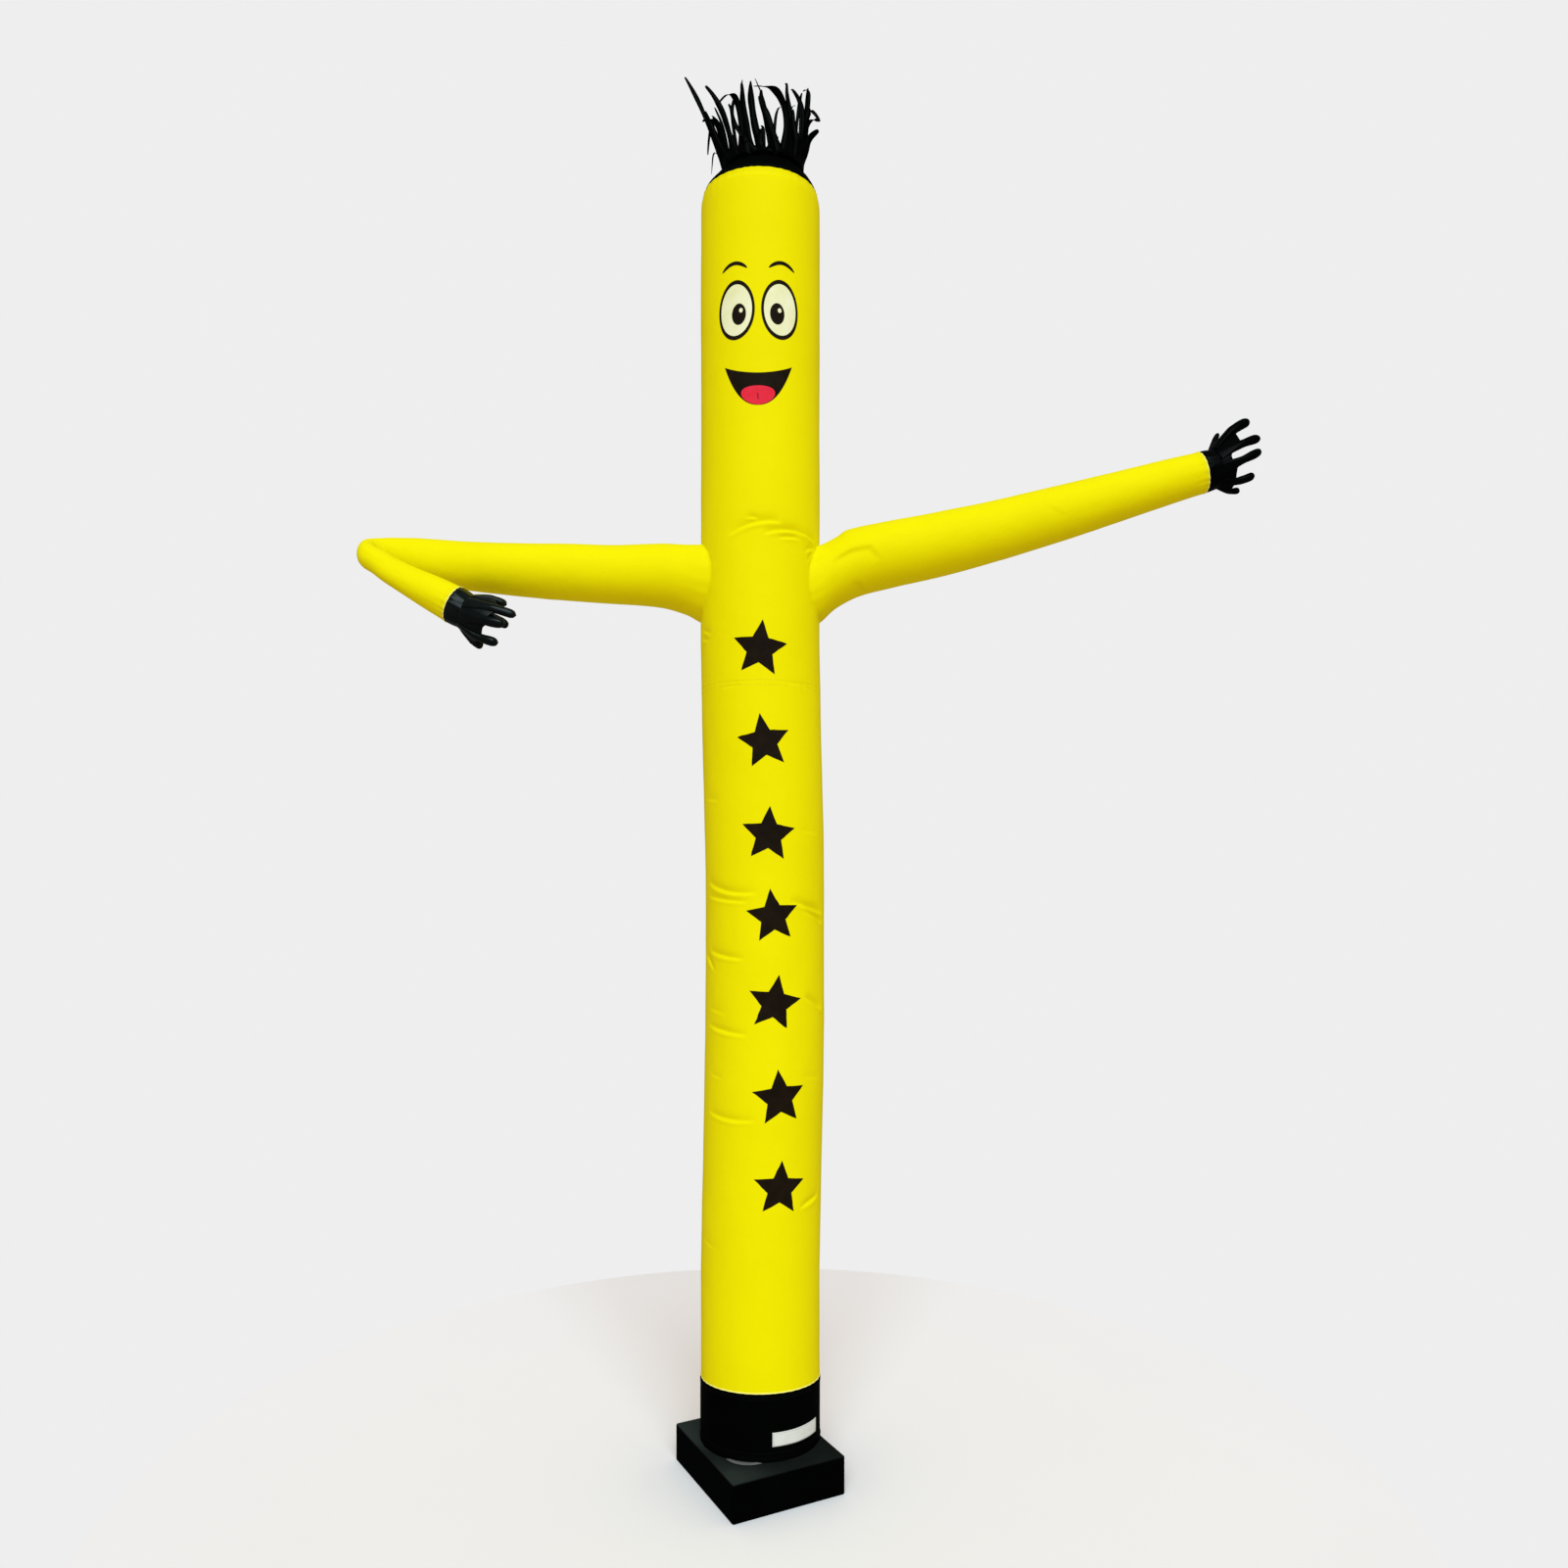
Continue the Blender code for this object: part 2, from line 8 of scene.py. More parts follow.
import bpy
import numpy as np
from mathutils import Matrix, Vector


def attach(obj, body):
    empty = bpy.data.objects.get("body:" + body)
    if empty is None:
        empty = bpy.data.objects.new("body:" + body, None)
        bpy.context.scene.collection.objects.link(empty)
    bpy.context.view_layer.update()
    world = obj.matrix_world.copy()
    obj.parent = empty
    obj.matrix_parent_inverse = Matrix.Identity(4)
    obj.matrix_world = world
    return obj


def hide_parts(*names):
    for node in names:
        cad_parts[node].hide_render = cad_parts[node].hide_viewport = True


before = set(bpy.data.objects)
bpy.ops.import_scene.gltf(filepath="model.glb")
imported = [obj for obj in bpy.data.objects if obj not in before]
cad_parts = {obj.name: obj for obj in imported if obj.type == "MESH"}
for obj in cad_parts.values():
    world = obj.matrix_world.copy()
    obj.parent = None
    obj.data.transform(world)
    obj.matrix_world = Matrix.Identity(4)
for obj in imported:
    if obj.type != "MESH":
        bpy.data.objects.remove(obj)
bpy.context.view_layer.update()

# Sizes shared with the solids
TUBE_RADIUS = 0.130
SLEEVE_RADIUS = 0.1312
SLEEVE_SEAM = 0.2135
SLEEVE_SEAM_TILT = 0.0107
BASE_SIZE = (0.262, 0.304, 0.082)
BASE_CENTRE = (-0.0047, -0.0238)
BASE_YAW = math.radians(27.4)
WAIST_SEAM = 1.710
HEAD_RIM = 2.790
HEAD_EDGE_RADIUS = 0.1238
NECK_CENTRE_X = 0.007
NECK_RADIUS = 0.079
NECK_TOP = 2.858

# Tube's sway: level, x
SWAY = (
    (0.45, 0.0000),
    (0.70, 0.0045),
    (0.86, 0.0080),
    (0.99, 0.0100),
    (1.25, 0.0100),
    (1.38, 0.0090),
    (1.51, 0.0060),
    (1.64, 0.0026),
    (1.80, 0.0000),
)

# Creases: azimuth and level of both ends, bow, depth, half width of the trough
CREASES = (
    (-66, 1.290, -7, 1.268, -0.010, 0.0065, 0.011),
    (-66, 1.261, -15, 1.249, -0.003, 0.0045, 0.009),
    (26, 1.249, 71, 1.222, 0.000, 0.0092, 0.011),
    (42, 1.230, 72, 1.199, 0.000, 0.0078, 0.010),
    (-62, 1.143, -19, 1.130, -0.004, 0.0060, 0.010),
    (-74, 1.133, -54, 1.102, 0.000, 0.0055, 0.010),
    (43, 1.047, 70, 1.014, 0.000, 0.0090, 0.011),
    (-65, 0.984, -16, 0.970, -0.003, 0.0060, 0.010),
    (-61, 0.799, -7, 0.792, -0.006, 0.0055, 0.010),
    (40, 0.602, 68, 0.616, 0.000, 0.0066, 0.010),
)
# How far a fold's lower lip stands out, as a share of its depth, and how far off it is felt
LIP = 0.22
FOLD_REACH = 0.09

# Puckers finer than the solids have, in the same columns
FINE_CREASES = (
    (-29, 2.018, 21, 2.043, 0.009, 0.0098, 0.0062),
    (4, 2.017, 49, 2.026, 0.007, 0.0096, 0.0058),
    (-12, 2.0525, -1, 2.051, 0.001, 0.0050, 0.0044),
    (18, 2.010, 41, 2.015, 0.002, 0.0058, 0.0046),
    (43, 2.029, 72, 2.015, 0.003, 0.0038, 0.0048),
    (48, 1.992, 66, 2.004, 0.004, 0.0048, 0.0055),
    (52, 1.972, 62, 2.000, 0.000, 0.0046, 0.0050),
    (56, 1.962, 66, 1.976, 0.000, 0.0028, 0.0050),
    (-70, 1.832, -52, 1.818, 0.001, 0.0026, 0.0050),
    (-72, 1.815, -56, 1.806, 0.000, 0.0022, 0.0045),
    (24, 1.706, 60, 1.700, 0.002, 0.0010, 0.0050),
    (-60, 2.7765, 58, 2.7745, -0.002, 0.0015, 0.0040),
    (-40, 1.700, -18, 1.703, 0.000, 0.0009, 0.0050),
    (-64, 1.020, -40, 1.012, 0.000, 0.0018, 0.0050),
    (-60, 0.880, -42, 0.874, 0.000, 0.0016, 0.0050),
    (40, 0.880, 66, 0.868, 0.000, 0.0018, 0.0050),
    (-68, 0.520, -48, 0.512, 0.000, 0.0014, 0.0050),
    (38, 1.400, 62, 1.392, 0.000, 0.0014, 0.0050),
    (-70, 1.470, -46, 1.462, 0.001, 0.0016, 0.0050),
    (95, 1.262, 160, 1.240, 0.006, 0.0050, 0.0060),
    (-165, 1.214, -110, 1.232, -0.004, 0.0050, 0.0060),
    (118, 0.962, 172, 0.948, 0.004, 0.0045, 0.0060),
    (-150, 0.842, -100, 0.866, 0.003, 0.0040, 0.0060),
    (-172, 2.010, -128, 2.034, 0.006, 0.0050, 0.0060),
    (122, 2.038, 168, 2.020, 0.004, 0.0045, 0.0060),
)
# What the cloth takes of each table: share of the depths, share of the widths
FOLDS = ((CREASES, 0.70, 0.42), (FINE_CREASES, 0.68, 0.78))

# The tube's loose cloth: height, cells in a turn, cells in a metre, seed
BODY_SLACK = ((0.0006, 9, 7, 3), (0.00022, 34, 22, 5))
RIM_GATHER = 0.0006
# Round an arm's root: gathers out from the seam, and the groove that it lies in
PUCKER_COUNT = 17
PUCKER_REACH = 0.022
PUCKER_HEIGHT = 0.0005
ROOT_GROOVE = 0.0010

# Head's shoulder and crown: level, radius
HEAD = (
    (2.750, 0.1300),
    (2.762, 0.12985),
    (2.770, 0.1293),
    (2.777, 0.1283),
    (2.783, 0.1267),
    (2.787, 0.1252),
    (HEAD_RIM, HEAD_EDGE_RADIUS),
)
CROWN = (
    (HEAD_RIM - 0.0050, HEAD_EDGE_RADIUS - 0.0026),
    (HEAD_RIM - 0.0010, HEAD_EDGE_RADIUS - 0.0018),
    (2.7935, HEAD_EDGE_RADIUS - 0.0006),
    (2.801, 0.1200),
    (2.808, 0.1148),
    (2.8155, 0.1088),
    (2.8225, 0.1026),
    (2.829, 0.0962),
    (2.8345, 0.0900),
    (2.839, 0.0838),
    (2.842, 0.0802),
    (2.846, NECK_RADIUS),
    (NECK_TOP, NECK_RADIUS),
)

# Arms: x, y, z of the axis, half height, half depth
RAISED_ARM = (
    (0.085, 0, 1.926, 0.0920, 0.0750),
    (0.133, 0, 1.949, 0.0825, 0.0740),
    (0.167, 0, 1.973, 0.0760, 0.0725),
    (0.202, 0, 1.993, 0.0725, 0.0715),
    (0.271, 0, 2.010, 0.0708, 0.0708),
    (0.374, 0, 2.031, 0.0686, 0.0686),
    (0.512, 0, 2.064, 0.0642, 0.0642),
    (0.649, 0, 2.101, 0.0590, 0.0590),
    (0.787, 0, 2.141, 0.0525, 0.0525),
    (0.900, 0, 2.174, 0.0472, 0.0472),
    (0.969, 0, 2.193, 0.0440, 0.0440),
)
FOLDED_ARM = (
    (-0.085, 0.000, 1.940, 0.0900, 0.0760),
    (-0.131, 0.000, 1.948, 0.0840, 0.0740),
    (-0.164, 0.000, 1.957, 0.0755, 0.0715),
    (-0.216, 0.000, 1.966, 0.0690, 0.0690),
    (-0.319, 0.000, 1.969, 0.0630, 0.0630),
    (-0.423, 0.000, 1.974, 0.0605, 0.0605),
    (-0.526, 0.000, 1.979, 0.0570, 0.0570),
    (-0.649, 0.000, 1.988, 0.0520, 0.0520),
    (-0.745, 0.000, 1.999, 0.0480, 0.0460),
    (-0.800, -0.001, 2.006, 0.0430, 0.0370),
    (-0.832, -0.012, 2.009, 0.0360, 0.0270),
    (-0.848, -0.036, 2.004, 0.0310, 0.0225),
    (-0.838, -0.060, 1.991, 0.0280, 0.0240),
    (-0.812, -0.073, 1.975, 0.0265, 0.0280),
    (-0.785, -0.0765, 1.957, 0.0270, 0.0330),
    (-0.743, -0.078, 1.933, 0.0305, 0.0360),
    (-0.697, -0.081, 1.909, 0.0360, 0.0390),
    (-0.648, -0.085, 1.882, 0.0400, 0.0400),
)
RAISED_UP = np.array((0.0, 0.0, 1.0))
FOLDED_UP = np.array((0.0, -0.5, 0.85)) / math.hypot(0.5, 0.85)
ROOT_TURNS = (0, 0, 0, 0.45, 0.85)

# Hands: cuff's height and share of the wrist's radius; fingers' root angle, then the tip
# along, above and before the wrist's middle, and width
CUFF = ((0.0, 1.0), (0.008, 1.005), (0.016, 0.99), (0.024, 0.965), (0.032, 0.935), (0.040, 0.900))
RAISED_FINGERS = (
    (22, 0.134, 0.084, -0.010, 0.0205),
    (66, 0.137, 0.036, 0.014, 0.0160),
    (110, 0.128, 0.006, 0.022, 0.0155),
    (156, 0.105, -0.038, 0.010, 0.0160),
    (204, 0.078, -0.056, -0.014, 0.0130),
    (318, 0.074, 0.082, -0.030, 0.0100),
)
FOLDED_FINGERS = (
    (172, 0.086, -0.055, 0.004, 0.0165),
    (128, 0.132, -0.010, 0.034, 0.0175),
    (80, 0.136, 0.036, 0.032, 0.0170),
    (36, 0.143, 0.052, 0.006, 0.0160),
    (350, 0.102, 0.045, -0.026, 0.0150),
    (262, 0.108, -0.010, -0.044, 0.0160),
)
FINGER_BULGE = 0.35
PALM_WIDTH = 0.0240
# Where the web after each finger ends, as a share of its length, in the order of their angles
RAISED_WEBS = (0.54, 0.25, 0.37, 0.40, 0.34, 0.36)
FOLDED_WEBS = (0.60, 0.60, 0.60, 0.46, 0.46, 0.64)

# Locks of hair: azimuth of the root, x, y and z half way along and at the tip from the
# middle of the neck's top, and width
HAIR = (
    (-180, 0.000, 0.075, 0.112, -0.007, 0.085, 0.154, 0.014),
    (-164, -0.040, 0.068, 0.130, -0.053, 0.070, 0.180, 0.014),
    (-147, -0.068, 0.062, 0.133, -0.079, 0.058, 0.185, 0.015),
    (-131, -0.093, 0.055, 0.129, -0.113, 0.060, 0.178, 0.014),
    (-115, -0.114, 0.042, 0.109, -0.125, 0.055, 0.069, 0.012),
    (-98, -0.105, 0.014, 0.047, -0.117, 0.020, 0.003, 0.007),
    (-82, -0.128, -0.012, 0.110, -0.171, -0.016, 0.193, 0.0130),
    (-65, -0.098, -0.042, 0.071, -0.130, -0.060, 0.067, 0.017),
    (-49, -0.085, -0.050, 0.087, -0.124, -0.050, 0.150, 0.015),
    (-33, -0.057, -0.082, 0.100, -0.094, -0.118, 0.064, 0.015),
    (-16, -0.038, -0.058, 0.083, -0.047, -0.048, 0.158, 0.014),
    (0, -0.020, -0.070, 0.080, -0.026, -0.056, 0.158, 0.015),
    (16, 0.002, -0.066, 0.082, -0.005, -0.052, 0.140, 0.013),
    (33, 0.042, -0.090, 0.091, -0.017, -0.124, 0.099, 0.018),
    (49, 0.057, -0.048, 0.088, 0.050, -0.046, 0.159, 0.014),
    (65, 0.084, -0.036, 0.094, 0.063, -0.040, 0.151, 0.014),
    (82, 0.095, -0.014, 0.046, 0.119, -0.022, 0.073, 0.019),
    (98, 0.094, 0.012, 0.098, 0.122, 0.020, 0.120, 0.022),
    (115, 0.092, 0.034, 0.143, 0.098, 0.034, 0.204, 0.014),
    (131, 0.075, 0.050, 0.145, 0.086, 0.052, 0.205, 0.015),
    (147, 0.053, 0.062, 0.138, 0.070, 0.074, 0.192, 0.014),
    (164, 0.024, 0.070, 0.138, 0.037, 0.084, 0.194, 0.013),
)

# Thinner strands and petals between the locks, in the same columns
THIN_HAIR = (
    (-8, -0.061, -0.070, 0.059, -0.057, -0.060, 0.124, 0.011),
    (-40, -0.074, -0.062, 0.045, -0.093, -0.055, 0.102, 0.014),
    (-3, -0.026, -0.050, 0.087, -0.028, -0.040, 0.165, 0.010),
    (25, 0.015, -0.088, 0.043, -0.008, -0.085, 0.105, 0.018),
    (-60, -0.102, -0.050, 0.040, -0.125, -0.050, 0.095, 0.016),
    (-75, -0.094, -0.030, 0.064, -0.112, -0.025, 0.103, 0.014),
    (58, 0.069, -0.052, 0.039, 0.061, -0.050, 0.099, 0.018),
    (75, 0.087, -0.024, 0.057, 0.091, -0.020, 0.098, 0.017),
    (44, 0.057, -0.066, 0.030, 0.052, -0.060, 0.080, 0.016),
    (62, 0.080, -0.040, 0.104, 0.061, -0.030, 0.157, 0.008),
    (40, 0.057, -0.056, 0.100, 0.046, -0.050, 0.156, 0.008),
    (85, 0.100, -0.004, 0.139, 0.088, 0.000, 0.173, 0.008),
    (78, 0.095, -0.030, 0.100, 0.121, -0.030, 0.087, 0.014),
    (-86, -0.111, -0.030, 0.053, -0.096, -0.036, 0.001, 0.006),
    (0, -0.006, -0.086, 0.007, -0.005, -0.084, 0.035, 0.022),
    (-24, -0.033, -0.080, 0.006, -0.042, -0.078, 0.028, 0.022),
    (22, 0.023, -0.080, 0.002, 0.029, -0.078, 0.024, 0.022),
    (10, 0.010, -0.040, 0.089, -0.018, -0.020, 0.189, 0.006),
    (-20, -0.047, -0.040, 0.100, -0.046, -0.020, 0.184, 0.006),
    (-50, -0.080, -0.062, -0.009, -0.086, -0.075, -0.051, 0.005),
)


# Curves, noise and small shapes that all pieces share

FULL_TURN = math.tau
LATTICE = 97


def unit(vectors):
    return vectors / np.linalg.norm(vectors, axis=-1, keepdims=True)


def square_to(along, vectors):
    """Unit vectors square to a direction, turned as little as can be."""
    return unit(vectors - along * (vectors * along).sum(axis=-1, keepdims=True))


def pairs(first, second):
    """Two arrays side by side as the last axis of one, such as UVs."""
    return np.stack(np.broadcast_arrays(first, second), axis=-1)


def round_axis(azimuth, radius, level, centre_x=0.0):
    """Points at azimuths in degrees, radii and levels round an upright axis."""
    turned = np.radians(azimuth)
    x, y = centre_x + radius * np.sin(turned), -radius * np.cos(turned)
    return np.stack(np.broadcast_arrays(x, y, level), axis=-1)


def outward(azimuth):
    return round_axis(azimuth, 1.0, 0.0)


def ring_angles(count):
    return np.linspace(0, FULL_TURN, count + 1)[:-1]


def lengths_along(path):
    """Length of a path up to each of its points."""
    steps = np.linalg.norm(np.diff(path, axis=0), axis=1)
    return np.concatenate([[0], np.cumsum(steps)])


def eased(share):
    return share * share * (3 - 2 * share)


def rising(value, low, high):
    """From 0 at low to 1 at high, and level outside them."""
    return np.clip((value - low) / (high - low), 0, 1)


def bell(away, width):
    return np.exp(-((away / width) ** 2))


def fading(away, reach):
    """From 1 at a seam towards 0, over a few times its reach."""
    return np.exp(-np.maximum(away, 0) / reach)


def smoothed_table(table, low, high, step=0.002, reach=0.03):
    """A two-column table as a fine, smooth curve."""
    levels = np.arange(low, high + step, step)
    values = np.interp(levels, *np.array(table).T)
    half = int(reach / step)
    window = np.hanning(2 * half + 1)
    padded = np.pad(values, half, mode="edge")
    return levels, np.convolve(padded, window / window.sum(), mode="valid")


SWAY_CURVE = smoothed_table(SWAY, 0.0, 3.1)


def hermite(rows, shares):
    """Smooth values through a table's rows. Its first three columns say how far apart they are."""
    rows = np.asarray(rows, float)
    last = len(rows) - 1
    knots = lengths_along(rows[:, :3])
    chords = np.diff(knots)
    slopes = np.empty_like(rows)
    slopes[1:-1] = (rows[2:] - rows[:-2]) / (knots[2:] - knots[:-2])[:, None]
    slopes[0] = (rows[1] - rows[0]) / chords[0]
    slopes[-1] = (rows[-1] - rows[-2]) / chords[-1]
    where = np.interp(shares, np.arange(last + 1) / last, knots)
    i = np.clip(np.searchsorted(knots, where, side="right") - 1, 0, last - 1)
    h = chords[i][:, None]
    t = ((where - knots[i]) / chords[i])[:, None]
    return (
        (2 * t**3 - 3 * t**2 + 1) * rows[i]
        + (t**3 - 2 * t**2 + t) * h * slopes[i]
        + (-2 * t**3 + 3 * t**2) * rows[i + 1]
        + (t**3 - t**2) * h * slopes[i + 1]
    )


def value_noise(u, v, seed, period_u=LATTICE):
    """Smooth noise from -1 to 1 on a lattice, which repeats after period_u cells."""
    table = np.random.default_rng(seed).uniform(-1, 1, (LATTICE, LATTICE))
    cell_u, cell_v = np.floor(u).astype(int), np.floor(v).astype(int)
    share_u, share_v = eased(u - cell_u), eased(v - cell_v)
    a, b = cell_u % period_u % LATTICE, (cell_u + 1) % period_u % LATTICE
    c, d = cell_v % LATTICE, (cell_v + 1) % LATTICE
    low = table[a, c] * (1 - share_u) + table[b, c] * share_u
    high = table[a, d] * (1 - share_u) + table[b, d] * share_u
    return low * (1 - share_v) + high * share_v


def slack(turned, along, rows):
    """Loose cloth, from rows of height, cells in a turn, cells in a metre and seed."""
    return sum(
        height * value_noise(turned * cells, along * rate, seed, cells)
        for height, cells, rate, seed in rows
    )


def gathers(turned, count, uneven, cells, seed):
    """A wave round a ring, count times in a turn and unevenly spaced."""
    return np.sin(turned * FULL_TURN * count + uneven * value_noise(turned * cells, 0.0, seed, cells))


def fold(away):
    """Depth of a fold of cloth that sinks slowly and comes back out at once."""
    sunk = np.where(away > 0, away * np.exp(1 - np.maximum(away, 0)), 0)
    return sunk - LIP * bell(away + 0.9, 0.9)


def pressed_in(azimuth, level, table, depth_share, width_share):
    """How far the folds of a table press the cloth in."""
    pressed = np.zeros_like(azimuth)
    for azimuth_1, level_1, azimuth_2, level_2, bow, depth, width in table:
        share = (azimuth - azimuth_1) / (azimuth_2 - azimuth_1)
        near = (share > 0) & (share < 1)
        near &= np.abs(level - (level_1 + level_2) / 2) < abs(level_2 - level_1) + FOLD_REACH
        if not near.any():
            continue
        s, z = share[near], level[near]
        middle = level_1 + s * (level_2 - level_1) + bow * 4 * s * (1 - s)
        fade = np.sin(np.pi * s) ** 0.7
        pressed[near] += depth * depth_share * fade * fold((z - middle) / (width * width_share))
    return pressed


def arm_seam_distance(azimuth, level, rows, side):
    """Distance on the chest from the seam round an arm's root, and the angle round it."""
    middle_z, half_z, half_y = rows[1][2:5]
    reach = TUBE_RADIUS * math.asin(half_y / TUBE_RADIUS)
    across = TUBE_RADIUS * np.radians(azimuth - 90 * side) / reach
    up = (level - middle_z) / half_z
    return (np.hypot(across, up) - 1) * half_z, np.arctan2(up, across)


def puckers(distance, around, seed):
    """Small gathers that run out from an arm's seam and die away, uneven in length."""
    wave = np.sin(around * PUCKER_COUNT + 2.2 * value_noise(around * 2.5 + 20, seed, seed))
    length = PUCKER_REACH * (0.55 + 0.45 * value_noise(around * 5 + 40, 3, seed + 1))
    return PUCKER_HEIGHT * wave * fading(distance, np.maximum(length, 0.004))


def body_radius(azimuth, level):
    """Radius of the blown tube at each azimuth and level."""
    radius = np.interp(level, *np.array(HEAD).T)
    for table, depth_share, width_share in FOLDS:
        radius -= pressed_in(azimuth, level, table, depth_share, width_share)
    turned = azimuth / 360
    radius += slack(turned, level, BODY_SLACK)
    for seam, height in ((WAIST_SEAM, 0.00022), (SLEEVE_SEAM + 0.004, 0.0006)):
        away = level - seam
        wave = np.exp(-np.abs(away) / 0.013) * gathers(turned, 46, 3, 23, 11)
        radius += height * (wave - bell(away, 0.004))
    radius += RIM_GATHER * gathers(turned, 38, 3, 19, 13) * fading(HEAD_RIM - level, 0.016)
    for rows, side, seed in ((RAISED_ARM, 1, 21), (FOLDED_ARM, -1, 31)):
        distance, around = arm_seam_distance(azimuth, level, rows, side)
        radius += puckers(distance, around, seed) * (distance > -0.012)
        radius -= ROOT_GROOVE * bell(distance, 0.005)
    return radius


def body_points(azimuth, level, lift=0.0):
    """Points on the tube, lift metres off its surface."""
    azimuth, level = np.asarray(azimuth, float), np.asarray(level, float)
    radius = body_radius(azimuth, level) + lift
    return round_axis(azimuth, radius, level, np.interp(level, *SWAY_CURVE))


def mesh_object(name, points, faces, material, uv=None):
    """An object of a point array and a list of faces, shaded smooth."""
    points = np.asarray(points, np.float32).reshape(-1, 3)
    faces = np.asarray(faces, np.int32)
    mesh = bpy.data.meshes.new(name)
    mesh.vertices.add(len(points))
    mesh.vertices.foreach_set("co", points.ravel())
    mesh.loops.add(faces.size)
    mesh.loops.foreach_set("vertex_index", faces.ravel())
    mesh.polygons.add(len(faces))
    mesh.polygons.foreach_set("loop_start", np.arange(0, faces.size, faces.shape[1], dtype=np.int32))
    mesh.update(calc_edges=True)
    if uv is not None:
        layer = mesh.uv_layers.new(name="weave")
        layer.data.foreach_set("uv", uv.reshape(-1, 2)[faces.ravel()].astype(np.float32).ravel())
    mesh.materials.append(material)
    mesh.shade_smooth()
    made = bpy.data.objects.new(name, mesh)
    bpy.context.scene.collection.objects.link(made)
    return made


def grid_faces(rows, columns, closed):
    """Faces of a grid of points, row after row, whose rows may be closed rings."""
    i = np.arange(rows - 1)[:, None] * columns
    j = np.arange(columns if closed else columns - 1)
    k = (j + 1) % columns
    quads = np.stack([i + j, i + k, i + columns + k, i + columns + j], axis=-1)
    return quads.reshape(-1, 4)


def weld(piece):
    """Joins points that meet."""
    piece.modifiers.new("seam", "WELD").merge_threshold = 0.00002


def thicken(piece, thickness):
    """Gives a sheet its thickness, on its inner side."""
    solid = piece.modifiers.new("thickness", "SOLIDIFY")
    solid.thickness = thickness
    solid.offset = -1


def grid_sheet(name, points, material, uv, keep=None):
    """A sheet from rows of points, or those of its faces whose middles are to be kept."""
    faces = grid_faces(*points.shape[:2], False)
    if keep is not None:
        faces = faces[keep(points.reshape(-1, 3)[faces].mean(axis=1))]
    return mesh_object(name, points, faces, material, uv)


def ring_sheet(*given):
    """A sheet from rings of points, open at its first column so that its UVs don't wrap."""
    made = grid_sheet(*given)
    weld(made)
    return made


def declare(piece, slot, *nodes):
    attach(piece, "root")
    if nodes:
        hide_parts(*nodes)
    return piece


# Materials

THREAD_SCALE = 420
# Painted highlight on the base's upward faces: its grey-green tone, and how much of it lies all over the
# top
PAINTED_SHEEN_TONE = (0.024, 0.033, 0.031)
# Spots of the painted highlight on the base's top: x, y, how far it reaches and how strong it is
PAINTED_SHEEN_SPOTS = (((-0.050, -0.196), 0.060, 0.80), ((-0.168, 0.012), 0.085, 0.85))
PAINTED_SHEEN_ALL_OVER = 0.34


class Shader:
    """A material with short calls that add its nodes."""

    def __init__(self, name):
        self.material = bpy.data.materials.new(name)
        self.material.use_nodes = True
        self.tree = self.material.node_tree
        coords = self.node("ShaderNodeTexCoord").outputs
        self.place, self.uv, self.facing = coords["Object"], coords["UV"], coords["Normal"]

    def put(self, socket, given):
        """Gives a socket a number, a colour or what another node says."""
        if isinstance(given, bpy.types.NodeSocket):
            self.tree.links.new(given, socket)
        else:
            socket.default_value = (*given, 1) if isinstance(given, tuple) else given

    def node(self, kind, inputs=(), **settings):
        made = self.tree.nodes.new(kind)
        for key, value in settings.items():
            setattr(made, key, value)
        for socket, given in dict(inputs).items():
            self.put(made.inputs[socket], given)
        return made

    def noise(self, scale, detail=3, roughness=0.55):
        inputs = {"Vector": self.place, "Scale": scale, "Detail": detail, "Roughness": roughness}
        return self.node("ShaderNodeTexNoise", inputs).outputs["Fac"]

    def wave(self, vector, scale, direction):
        inputs = {"Vector": vector, "Scale": scale, "Distortion": 0}
        return self.node("ShaderNodeTexWave", inputs, bands_direction=direction).outputs["Fac"]

    def weave(self):
        """The threads of woven cloth, by its UVs in metres."""
        return self.times(*(self.wave(self.uv, THREAD_SCALE, way) for way in "XY"))

    def maths(self, operation, first, second):
        return self.node("ShaderNodeMath", {0: first, 1: second}, operation=operation).outputs[0]

    def times(self, first, second):
        return self.maths("MULTIPLY", first, second)

    def plus(self, first, second):
        return self.maths("ADD", first, second)

    def split(self, vector):
        return self.node("ShaderNodeSeparateXYZ", {0: vector}).outputs

    def ramp(self, value, stops):
        made = self.node("ShaderNodeValToRGB", {"Fac": value})
        elements = made.color_ramp.elements
        while len(elements) < len(stops):
            elements.new(0.5)
        for element, (place, colour) in zip(elements, stops):
            element.position = place
            element.color = (*colour, 1)
        return made.outputs["Color"]

    def mix(self, share, first, second):
        made = self.node("ShaderNodeMix", {"Factor": share}, data_type="RGBA")
        for socket, given in zip((s for s in made.inputs if s.type == "RGBA"), (first, second)):
            self.put(socket, given)
        return next(s for s in made.outputs if s.type == "RGBA")

    def glow(self, middle, reach):
        """A soft spot round a point of the ground plan, from 1 at its middle to 0."""
        spot = self.split(self.place)
        across, back = (self.maths("SUBTRACT", spot[axis], middle[axis]) for axis in (0, 1))
        far = self.plus(self.times(across, across), self.times(back, back))
        return self.maths("EXPONENT", self.times(far, -1 / reach**2), 0.0)

    def bump(self, height, strength, distance, after=None):
        inputs = {"Height": height, "Strength": strength, "Distance": distance}
        if after is not None:
            inputs["Normal"] = after
        return self.node("ShaderNodeBump", inputs).outputs["Normal"]

    def surface(self, colour, roughness, specular, normal=None):
        """Gives the surface its looks, and gives back the material."""
        looks = {"Base Color": colour, "Roughness": roughness, "Specular IOR Level": specular}
        if normal is not None:
            looks["Normal"] = normal
        for socket, given in looks.items():
            self.put(self.tree.nodes["Principled BSDF"].inputs[socket], given)
        return self.material


